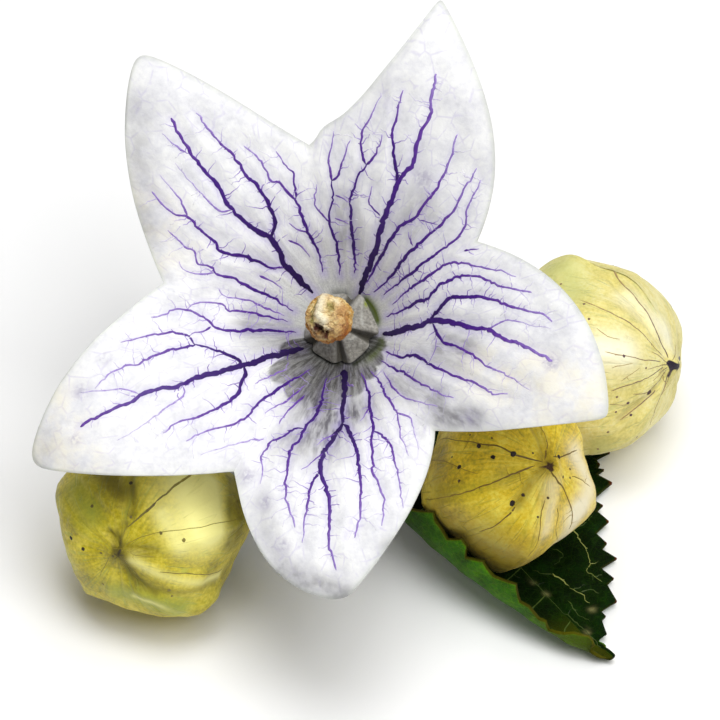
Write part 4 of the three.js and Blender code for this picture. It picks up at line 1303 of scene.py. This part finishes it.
budInks = {
    "bud_left": [(0.1, tone("a89a2c")), (0.5, tone("857a38")), (0.85, tone("4a4028")), (1.0, tone("140e0c"))],
    "bud_low": [(0.1, tone("b8981e")), (0.45, tone("7c6420")), (0.8, tone("4c3820")), (1.0, tone("1c0e10"))],
    "bud_right": [(0.1, tone("cbb868")), (0.5, tone("a3885a")), (0.8, tone("5c4248")), (1.0, tone("22101e"))],
}


def hiddenMarks(work, bud, place):
    # a few veins and dots on the sides that the picture doesn't show
    toEye = -sightLines()[1]
    for index in range(budShape["hiddenVeins"]):
        turn = math.tau * (index + dice.uniform(-0.3, 0.3)) / budShape["hiddenVeins"]
        stops = []
        for tilt in (0.25, 0.5, 0.8, 1.1, 1.4, 1.8, 2.1):
            turn += dice.uniform(-0.05, 0.05)
            guide = place @ budSurface(bud, tilt, turn)
            spot, facing = work.foot(guide)
            if facing.dot(toEye) < budShape["turnedAway"] and spot.z > 0.3:
                stops.append(spot + facing * 0.1)
        if len(stops) > 2:
            work.vein(stops, dice.uniform(0.06, 0.1), (0.8, 0.4), 0.06, 0.2, 0.08, 0.3)
    for _ in range(budShape["hiddenDots"]):
        guide = place @ budSurface(bud, dice.uniform(0.3, 2.3), dice.uniform(0, math.tau))
        spot, facing = work.foot(guide)
        if facing.dot(toEye) < budShape["turnedAway"] and spot.z > 0.4:
            work.dot(spot, dice.uniform(0.12, 0.2), dice.uniform(0.6, 0.9))


def makeBud(name, bud):
    place = placement(bud)
    rows, columns = budShape["rows"], budShape["columns"]

    def pointAt(row, column):
        tilt = math.pi * (row / rows) ** budShape["crowding"]
        return budSurface(bud, tilt, math.tau * column / columns)

    piece = shapeBall(name + "_balloon", columns, rows, pointAt, place)
    plain = skinOf(piece)
    fields = {kind: softMarks(plain, bud[kind]) for kind in ("folds", "dark", "green", "highlight", "tip")}
    pushSurface(piece, fields["folds"])
    stayAbove(piece, 0)
    tintBud(piece, bud, fields)
    ground = budGround(bud)
    paint = Paint(name + "Skin", Roughness=0.5, Specular_IOR_Level=0.4, Sheen_Weight=0.1)
    colour, height = ground(paint)
    material = paint.finish(Base_Color=colour, Normal=paint.bump(height, 0.09, 0.7),
                            Roughness=0.42 + 0.2 * paint.noise(1.2, 2))
    keep(piece, [name], material)
    work = VeinWork(skinOf(piece))
    inkShare = bud["inkShare"]
    for width, first, last, route in bud["veins"]:
        stops = seenAt(work.skin, route)
        if len(stops) > 1:
            work.vein(stops, 0.75 * width, (first * inkShare, last * inkShare), 0.05, 0.1, 0.06, 0.3, 0.6)
    for x, y, radius, ink in bud["dots"]:
        for spot in seenAt(work.skin, [(x, y)]):
            work.dot(spot, radius, ink)
    hiddenMarks(work, bud, place)
    marks = work.piece(name + "_marks")
    tintBud(marks, bud, fields)
    keep(marks, (), inkPaint(name + "Ink", ground, budInks[name], 0.15))


for name, bud in buds.items():
    makeBud(name, bud)


leaf = {
    "base": (1.1, -5.0, 1.5), "tip": (21.0, -33.8, 0.8),
    # half width, shift of the widest place and fullness
    "left": (13.0, 0.75, 0.9), "right": (10.6, 1.0, 1.4),
    "thick": 0.3, "curl": 1.6, "least": 2.0, "sag": 0.45, "rise": 0.2, "wave": (0.25, 21, 1.2),
    "edge": 0.3, "lead": 0.14, "hook": 0.9, "floor": 0.04,
    "corners": 46, "tooth": 1.0, "rowsPerCorner": 4, "across": 40,
    # where the picture shows the margins: notch and tip by turns, up to the leaf's tip
    "rightEdge": [
        (592, 446), (610, 452), (596, 459), (600, 464), (597, 468), (604, 469), (597, 474), (612, 482),
        (592, 499), (603, 505), (597, 511), (609, 521), (596, 533), (607, 543), (602, 549), (617, 558),
        (601, 568), (614, 578), (607, 584), (617, 601), (601, 611), (606, 616), (602, 620), (607, 634),
        (598, 641), (601, 648), (606, 654), (615, 659),
    ],
    "leftEdge": [
        (412, 508), (435, 511), (437, 520), (443, 528), (449, 538), (463, 538), (468, 545), (467, 556),
        (484, 560), (488, 567), (495, 575), (517, 583), (521, 600), (530, 605), (540, 617), (547, 620),
        (550, 628), (560, 640), (575, 650), (588, 654), (602, 656), (615, 660),
    ],
    # half width, ink at the start and at the end, picture points
    "seenVeins": [
        (0.06, 1.0, 0.9, [(574, 529), (579, 539), (584, 546), (588, 556), (591, 563), (599, 562)]),
        (0.05, 0.9, 0.7, [(591, 563), (587, 570), (595, 575), (602, 581)]),
        (0.04, 0.6, 0.4, [(574, 530), (585, 522), (592, 516)]),
        (0.06, 1.0, 0.9, [(552, 574), (563, 581), (568, 586), (580, 592), (585, 598), (590, 603)]),
        (0.04, 0.5, 0.5, [(533, 571), (552, 574)]),
        (0.04, 0.6, 0.4, [(553, 548), (560, 551), (563, 556), (553, 565)]),
        (0.04, 0.5, 0.4, [(566, 505), (576, 500), (590, 494)]),
        (0.04, 0.5, 0.4, [(580, 592), (590, 590), (598, 594)]),
        (0.04, 0.5, 0.4, [(568, 600), (578, 612), (590, 622)]),
    ],
    "spots": [(592, 610, 0.3), (588, 632, 0.25), (546, 593, 0.25), (533, 582, 0.25)],
}
leafBase, leafTip = Vector(leaf["base"]), Vector(leaf["tip"])
leafAlong = Vector((leafTip.x - leafBase.x, leafTip.y - leafBase.y, 0)).normalized()
leafRight = Vector((-leafAlong.y, leafAlong.x, 0))


def leafReach(side, share):
    half, shift, fullness = side
    along = min(max(share, 0.0), 1.0)
    return half * max(math.sin(math.pi * along ** shift), 0.0) ** fullness


def leafSpot(share, sideways):
    spot = leafBase.lerp(leafTip, share)
    spot.y += leaf["hook"] * smoothStep(0.88, 1.0, share)
    sag = leaf["sag"] * math.sin(math.pi * min(share, 1.0))
    if sideways < 0:
        curl = max(leafReach(leaf["left"], share), leaf["least"]) / leaf["curl"]
        turn = -sideways / curl
        spot = spot - leafRight * curl * math.sin(turn)
        spot.z += curl * (1 - math.cos(turn)) - sag
    else:
        height, turns, start = leaf["wave"]
        outward = (sideways / leaf["right"][0]) ** 2
        spot = spot + leafRight * sideways
        spot.z += (leaf["rise"] + height * math.sin(share * turns + start)) * outward - sag
    return spot


def leafNormal(share, sideways):
    step = 0.01
    lengthways = leafSpot(share + step, sideways) - leafSpot(share - step, sideways)
    crossways = leafSpot(share, sideways + step) - leafSpot(share, sideways - step)
    return lengthways.cross(crossways).normalized()


def leafFind(x, y, share, sideways, side=None):
    # the share along the leaf and the way sideways that the picture shows at this point
    sign = 1 if sideways > 0 else -1
    for _ in range(16):
        here, alongStep, sideStep = [pictureOf(leafSpot(share + more, sideways + out) + middle)
                                     for more, out in ((0, 0), (0.005, 0), (0, 0.05))]
        gain = Matrix(((alongStep - here) / 0.005, (sideStep - here) / 0.05)).transposed()
        change = gain.inverted_safe() @ (Vector((x, y)) - here)
        share += min(max(change.x, -0.06), 0.06)
        sideways += min(max(change.y, -1.5), 1.5)
        share = min(max(share, 0.3), 1.0)
        if side:
            most = 1.4 * leafReach(side, share) + 0.8
            sideways = sign * min(max(sign * sideways, 0.25), most)
    return share, sideways


def leafMargin(sign, side, seen):
    # notches and tooth tips from the leaf's foot to its tip, as (share, way sideways)
    begin = 0.45
    found = []
    for index, (x, y) in enumerate(seen):
        share = blend(begin, 0.97, index / len(seen))
        found.append(leafFind(x, y, share, sign * (leafReach(side, share) + 0.5), side))
    hidden = leaf["corners"] - len(found)
    corners = []
    for index in range(hidden):
        share = found[0][0] * index / hidden
        out = leaf["tooth"] * math.sqrt(math.sin(math.pi * share)) * (0.5 if index % 2 else -0.5)
        corners.append((share, sign * (leafReach(side, share) + leaf["edge"] + out)))
    return corners + found


def leafVeinRoutes():
    # side veins that leave the midrib and run forward to the margin, each with a fork
    routes = [(0.12, 0.7, 0.4, [(0.0, 0.0), (0.25, 0.0), (0.5, 0.0), (0.75, 0.0), (0.95, 0.0)])]
    for sign, side, last in ((-1, leaf["left"], 9), (1, leaf["right"], 4)):
        for index in range(last):
            start = 0.06 + 0.098 * index + 0.012 * sign
            ahead = 0.16 - 0.005 * index
            stops = []
            for share in (0, 0.25, 0.5, 0.75, 0.93):
                along = start + ahead * share ** 1.25
                stops.append((along, sign * share * leafReach(side, min(along, 0.99))))
            routes.append((0.07, 0.6, 0.4, stops))
            for part, turn in ((2, 0.055), (3, -0.03)):
                along, sideways = stops[part]
                reach = leafReach(side, min(along + turn + 0.04, 0.985))
                far = (along + turn + 0.03, sign * 0.9 * reach)
                half = (along + turn * 0.6, (sideways + far[1]) / 2)
                routes.append((0.045, 0.5, 0.3, [stops[part], half, far]))
    for width, first, last, route in leaf["seenVeins"]:
        routes.append((width, first, last, [leafFind(x, y, 0.7, 3) for x, y in route]))
    return routes


leafRoutes = leafVeinRoutes()


def leafField():
    length = (leafTip - leafBase).length
    spots = []
    for width, first, last, route in leafRoutes:
        line = curveThrough([Vector((share * length, sideways, 0)) for share, sideways in route], 0.3)
        spots += [(spot, width) for spot in line]
    tree = KDTree(len(spots))
    for index, (spot, width) in enumerate(spots):
        tree.insert(spot, index)
    tree.balance()
    return tree, [width for spot, width in spots], length


leafTree, leafWidths, leafLength = leafField()


def makeLeaf():
    # the rows run from the midrib forward to the margin, some between each notch and tip
    per = leaf["rowsPerCorner"]
    rows = (leaf["corners"] - 1) * per + 1
    columns = 2 * leaf["across"] + 1
    margins = {-1: leafMargin(-1, leaf["left"], leaf["leftEdge"]),
               1: leafMargin(1, leaf["right"], leaf["rightEdge"])}
    spots = [leafFind(x, y, 0.8, 2) + (size,) for x, y, size in leaf["spots"]]

    def marginAt(sign, row):
        corner, part = min(row // per, leaf["corners"] - 2), row / per
        here, there = margins[sign][corner], margins[sign][corner + 1]
        part -= corner
        return blend(here[0], there[0], part), blend(here[1], there[1], part)

    bpy.ops.object.select_all(action="DESELECT")
    bpy.ops.mesh.primitive_grid_add(x_subdivisions=rows - 1, y_subdivisions=columns - 1, size=2)
    piece = bpy.context.object
    piece.name = "leaf_blade"
    marks, flecks = [], []
    for vertex in piece.data.vertices:
        row = round((vertex.co.x + 1) / 2 * (rows - 1))
        across = vertex.co.y
        sign = -1 if across < 0 else 1
        ends = {each: marginAt(each, row) for each in (-1, 1)}
        centre = (ends[-1][0] + ends[1][0]) / 2
        centre -= leaf["lead"] * math.sin(math.pi * min(centre, 1.0))
        margin, reach = ends[sign]
        share = blend(centre, margin, abs(across) ** 1.3)
        sideways = abs(across) * reach
        spot = leafSpot(share, sideways)
        normal = leafNormal(share, sideways)
        near, index, away = leafTree.find(Vector((share * leafLength, sideways, 0)))
        width = leafWidths[index]
        groove = -(0.10 + 0.6 * width) * math.exp(-((away / (0.18 + 1.2 * width)) ** 2))
        pad = 0.16 * smoothStep(0.1, 1.0, away) + 0.12 * noise.noise(spot * 0.9)
        calm = smoothStep(1.0, 0.9, abs(across)) * smoothStep(0, 0.05, share)
        spot = spot + normal * (groove + pad) * calm * (0.3 if sign < 0 else 1)
        vertex.co = (spot + middle) * mm
        point = 1.0 if sign > 0 and row % per == 0 and (row // per) % 2 == 1 else 0.0
        fleck = sum(math.exp(-(math.hypot((share - x) * leafLength, sideways - y) / size) ** 2)
                    for x, y, size in spots)
        point *= smoothStep(0.965, 0.99, abs(across))
        marks.append((point, abs(across), math.exp(-((away / 0.3) ** 2))))
        flecks.append((fleck, 1.0 if sign < 0 else 0.0, share))
    piece.data.update()
    writeColours(piece, "mark", marks)
    writeColours(piece, "fleck", flecks)
    bpy.ops.object.shade_smooth()
    return piece


def leafPaint(name, tones, rim, gloss):
    paint = Paint(name, Roughness=0.6, Specular_IOR_Level=gloss)
    fine = paint.noise(3.0, 5)
    mottle = paint.noise(0.5, 3)
    tooth, across, near = [paint.channel("mark", index) for index in range(3)]
    net = paint.step(paint.edges(1.3), 0.08, 0.0) * 0.5 + paint.step(paint.edges(2.9), 0.06, 0.0) * 0.35
    dark, mid, light, veinTone = [tone(code) for code in tones]
    colour = paint.ramp(mottle * 0.6 + fine * 0.4, (0.3, dark), (0.52, mid), (0.72, light))
    fleck, below, along = [paint.channel("fleck", index) for index in range(3)]
    colour = paint.mix(net * 0.35, colour, veinTone)
    colour = paint.mix(near * 0.12, colour, veinTone)
    colour = paint.mix(below * paint.step(along, 0.68, 0.42) * 0.75, colour, dark)
    colour = paint.mix(below * paint.step(along, 0.78, 0.92) * 0.6, colour, tone("545a04"))
    colour = paint.mix(below * paint.step(along, 0.9, 0.98) * 0.7, colour, tone("2e3200"))
    colour = paint.mix(fleck * 0.8, colour, tone("8c8a5a"))
    rimmed = paint.step(across, 0.98, 1.0) * (0.08 + below * rim)
    colour = paint.mix(rimmed, colour, tone("8a7c14"))
    colour = paint.mix(paint.step(tooth, 0.3, 0.9) * 0.9, colour, tone("6e2c14"))
    height = fine * 0.5 - net + paint.noise(7, 2) * 0.3
    return paint.finish(Base_Color=colour, Normal=paint.bump(height, 0.1, 0.8), Roughness=0.58 + 0.2 * fine)


def leafGuide(share, sideways):
    return leafSpot(share, sideways) + middle + leafNormal(share, sideways) * 0.15


def leafVeinGround(paint):
    fine = paint.noise(3.0, 5)
    return paint.ramp(fine, (0.3, tone("0c1808")), (0.7, tone("1a3010"))), fine


leafInks = [(0.2, tone("1d3010")), (0.6, tone("4c6024")), (1.0, tone("a9b060"))]


def layLeafVeins(blade):
    work = VeinWork(skinOf(blade))
    for width, first, last, route in leafRoutes:
        work.vein([leafGuide(*stop) for stop in route], width, (first, last), 0.05, 0.2, 0.12, 0.3)
    keep(work.piece("leaf_veins"), (), inkPaint("leafVein", leafVeinGround, leafInks))


def thickenLeaf(blade):
    # gives the blade its underside, with a lighter green
    blade.data.materials.append(leafPaint("leafUpper", ("030a00", "061c00", "0e3000", "2a4c08"), 0.12, 0.08))
    blade.data.materials.append(leafPaint("leafUnder", ("163000", "326800", "549600", "7ca01c"), 0.1, 0.12))
    pickAlone(blade)
    wall = blade.modifiers.new("wall", "SOLIDIFY")
    wall.thickness = leaf["thick"] * mm
    wall.offset = -1
    wall.material_offset = 1
    bpy.ops.object.modifier_apply(modifier=wall.name)
    stayAbove(blade, leaf["floor"])
    keep(blade, ["leaf"])


leafBlade = makeLeaf()
layLeafVeins(leafBlade)
thickenLeaf(leafBlade)


green = {"gap": 0.36, "topRadius": 2.4, "stalkRadius": 1.1, "sepalThick": 0.6, "notch": 0.6, "pointed": 1.6,
         "bloomReach": 7.5, "budReach": 5.6, "perSepal": 24, "stalk": 0.85, "bend": 3.0,
         "node": (0.8, -2.4, 3.4), "nodeRadius": 1.9, "stem": 1.5,
         "route": [(0.8, -3.4, 3.6), (1.0, 3.0, 2.6), (0.8, 10.0, 1.4), (-0.6, 18.0, 1.3)]}


def tubeFrames(line, side):
    # a steady cross direction for each point of a line
    frames = []
    for index, spot in enumerate(line):
        ahead = (line[min(index + 1, len(line) - 1)] - line[max(index - 1, 0)]).normalized()
        side = (side - ahead * side.dot(ahead)).normalized()
        frames.append((spot, side.copy(), side.cross(ahead)))
    return frames


def makeTube(name, stops, radiusAt, columns):
    line = curveThrough([Vector(stop) for stop in stops], 0.5)
    rows = len(line) + 1
    frames = tubeFrames(line, (line[1] - line[0]).orthogonal().normalized())

    def pointAt(row, column):
        if row in (0, rows):
            return line[0 if row == 0 else -1].copy()
        spot, right, over = frames[row - 1]
        turn = math.tau * column / columns
        return spot + (right * math.cos(turn) + over * math.sin(turn)) * radiusAt(turn)

    return shapeBall(name, columns, rows, pointAt)


def joinPieces(name, first, second):
    # one skin round two green pieces
    pickAlone(first)
    union = first.modifiers.new("union", "BOOLEAN")
    union.operation = "UNION"
    union.object = second
    bpy.ops.object.modifier_apply(modifier=union.name)
    bpy.data.objects.remove(second)
    bpy.ops.object.shade_smooth_by_angle(angle=math.radians(45))
    first.name = name
    return first


def greenPaint(name, dark, mid, light):
    paint = Paint(name, Roughness=0.5, Specular_IOR_Level=0.4)
    fine = paint.noise(3.5, 5)
    mottle = paint.noise(0.6, 3)
    fleck = paint.step(paint.noise(1.8, 2), 0.62, 0.72)
    colour = paint.ramp(mottle * 0.6 + fine * 0.4, (0.3, tone(dark)), (0.5, tone(mid)), (0.7, tone(light)))
    colour = paint.mix(fleck * 0.35, colour, tone("6b4a52"))
    return paint.finish(Base_Color=colour, Normal=paint.bump(fine + paint.noise(9, 2) * 0.4, 0.08, 0.7),
                        Roughness=0.42 + 0.2 * fine)


stalkGreen = greenPaint("stalkGreen", "3d5a1e", "5d7c30", "8aa04c")


def stalkLine(place, depth):
    axis = Vector(place["axis"]).normalized()
    centre = Vector(place["centre"])
    node = Vector(green["node"])
    top = depth + green["gap"] + green["sepalThick"]
    end = centre - axis * (top + place["calyx"])
    bend = centre - axis * (top + place["calyx"] + green["bend"])
    bend.z = max(bend.z, end.z)
    stop = node + (bend - node).normalized() * (green["nodeRadius"] + green["gap"])
    return curveThrough([spot + middle for spot in (end, bend, stop)], 0.4)[1:]


def makeStalk(name, place, depth, angles, reach, heightAt):
    # sepals, cone and stalk in one skin
    directions = []
    for index, angle in enumerate(angles):
        span = (angles[(index + 1) % len(angles)] - angle) % 360
        for step in range(green["perSepal"]):
            share = step / green["perSepal"]
            nearest = 1 - min(share, 1 - share) * 2
            directions.append((angle + span * share, nearest ** green["pointed"]))
    turned = placement(place)
    back = turned.inverted()
    blade, coneRows = 14, 8
    line = stalkLine(place, depth)
    frames = tubeFrames(line, turned.to_3x3() @ Vector((1, 0, 0)))
    rows = 2 * blade + coneRows + len(line) + 1

    def pointAt(row, column):
        angle, pointed = directions[column]
        outer = green["topRadius"] + green["notch"] + (reach - green["topRadius"] - green["notch"]) * pointed
        if row <= blade:
            radius = outer * row / blade
            height = loweredHeight(heightAt, radius, green["gap"])
        elif row <= 2 * blade:
            share = 1 - (row - blade) / blade
            radius = blend(green["topRadius"], outer, share)
            rib = 0.1 * math.exp(-(((1 - pointed) / 0.15) ** 2))
            thick = green["sepalThick"] * (0.55 + 0.45 * (1 - share)) + rib
            height = loweredHeight(heightAt, radius, green["gap"] + thick)
        elif row <= 2 * blade + coneRows:
            share = (row - 2 * blade) / coneRows
            ribs = 1 + 0.05 * math.cos(math.radians(angle * 5))
            radius = blend(green["topRadius"], green["stalkRadius"], share) * ribs
            height = loweredHeight(heightAt, 0, green["gap"] + green["sepalThick"]) - place["calyx"] * share
        else:
            index = row - 2 * blade - coneRows - 1
            spot, right, over = frames[min(index, len(frames) - 1)]
            turn = math.radians(angle)
            slim = smoothStep(0, 0.25, index / len(line))
            radius = blend(green["stalkRadius"], green["stalk"], slim) * (1 + 0.05 * math.cos(5 * turn))
            if row == rows:
                radius = 0
            return back @ (spot + (right * math.cos(turn) - over * math.sin(turn)) * radius)
        flat = polar(radius, angle)
        return Vector((flat.x, flat.y, height))

    piece = shapeBall(name + "_green", len(directions), rows, pointAt, turned)
    bpy.ops.object.shade_smooth_by_angle(angle=math.radians(50))
    stayAbove(piece, 0)
    keep(piece, [name + "_stalk"], stalkGreen)


def underBloom(radius):
    return loweredHeight(bowlHeight, radius, bloom["solidThick"]) - bloom["sinusDrop"] * (radius / 13) ** 2


notchAngles = [lobe["notch"] for lobe in lobes]
makeStalk("bloom", bloom, bloom["solidThick"], notchAngles, green["bloomReach"], underBloom)
for name, bud in buds.items():
    def underBud(radius):
        sine = (abs(radius) / bud["radius"]) ** (1 / budShape["squareness"])
        return -bud["depth"] * max(1 - sine ** 2, 0.0) ** (budShape["squareness"] / 2)
    angles = [72 * step + bud["turn"] for step in range(5)]
    makeStalk(name, bud, bud["depth"], angles, green["budReach"], underBud)


def makeStem():
    node = Vector(green["node"])
    columns, rows = 60, 40

    def nodePoint(row, column):
        tilt, turn = math.pi * row / rows, math.tau * column / columns
        way = Vector((math.sin(tilt) * math.cos(turn), math.sin(tilt) * math.sin(turn), math.cos(tilt)))
        return node + way * green["nodeRadius"] * (1 + 0.05 * noise.noise(way * 2.5))

    def ridgedRadius(turn):
        return green["stem"] * (0.98 + 0.03 * math.cos(6 * turn))

    shaft = makeTube("shaft", green["route"], ridgedRadius, 48)
    swelling = shapeBall("swelling", columns, rows, nodePoint)
    piece = joinPieces("stem_cut", shaft, swelling)
    stayAbove(piece, 0)
    return piece


keep(makeStem(), ["stem"], greenPaint("stemGreen", "4a6a28", "6d8a3c", "93a656"))


studio = {
    "floor": 3.0, "below": 0.00005, "target": (0, 0, 0.02), "world": 0.16,
    # place and size in metres, and power
    "lights": {"overhead": ((0, 0, 0.81), 0.4, 3.0), "rightFront": ((0.266, -0.266, 0.716), 0.5, 3.5),
               "behind": ((0, 0.376, 0.716), 0.5, 0.6)},
}


def makeStudio():
    bpy.ops.object.select_all(action="DESELECT")
    bpy.ops.mesh.primitive_plane_add(size=studio["floor"], location=(0, 0, -studio["below"]))
    floor = bpy.context.object
    floor.name = "table"
    paint = Paint("tableWhite", Roughness=0.7, Specular_IOR_Level=0.2)
    shade = paint.ramp(paint.noise(0.02, 2), (0.3, tone("fafafa")), (0.7, tone("ffffff")))
    floor.data.materials.append(paint.finish(Base_Color=shade))

    for name, (place, size, power) in studio["lights"].items():
        lamp = bpy.data.lights.new(name, "AREA")
        lamp.shape = "DISK"
        lamp.size = size
        lamp.energy = power
        light = bpy.data.objects.new(name, lamp)
        light.location = place
        light.rotation_euler = (Vector(studio["target"]) - Vector(place)).to_track_quat("-Z", "Y").to_euler()
        bpy.context.scene.collection.objects.link(light)

    world = bpy.data.worlds.new("studio")
    world.use_nodes = True
    background = world.node_tree.nodes["Background"]
    background.inputs["Color"].default_value = (1, 1, 1, 1)
    background.inputs["Strength"].default_value = studio["world"]
    bpy.context.scene.world = world
    bpy.context.scene.view_settings.view_transform = "Standard"

    lens = bpy.data.cameras.new("photoView")
    lens.lens = camera["lens"]
    lens.sensor_width = camera["sensor"]
    lens.clip_start = 0.01
    viewer = bpy.data.objects.new("photoView", lens)
    height = math.radians(camera["elevation"])
    viewer.location = middle * mm + Vector((0, -math.cos(height), math.sin(height))) * camera["away"]
    viewer.rotation_euler = (math.pi / 2 - height, 0, 0)
    bpy.context.scene.collection.objects.link(viewer)
    bpy.context.scene.camera = viewer


makeStudio()
print("studio set")
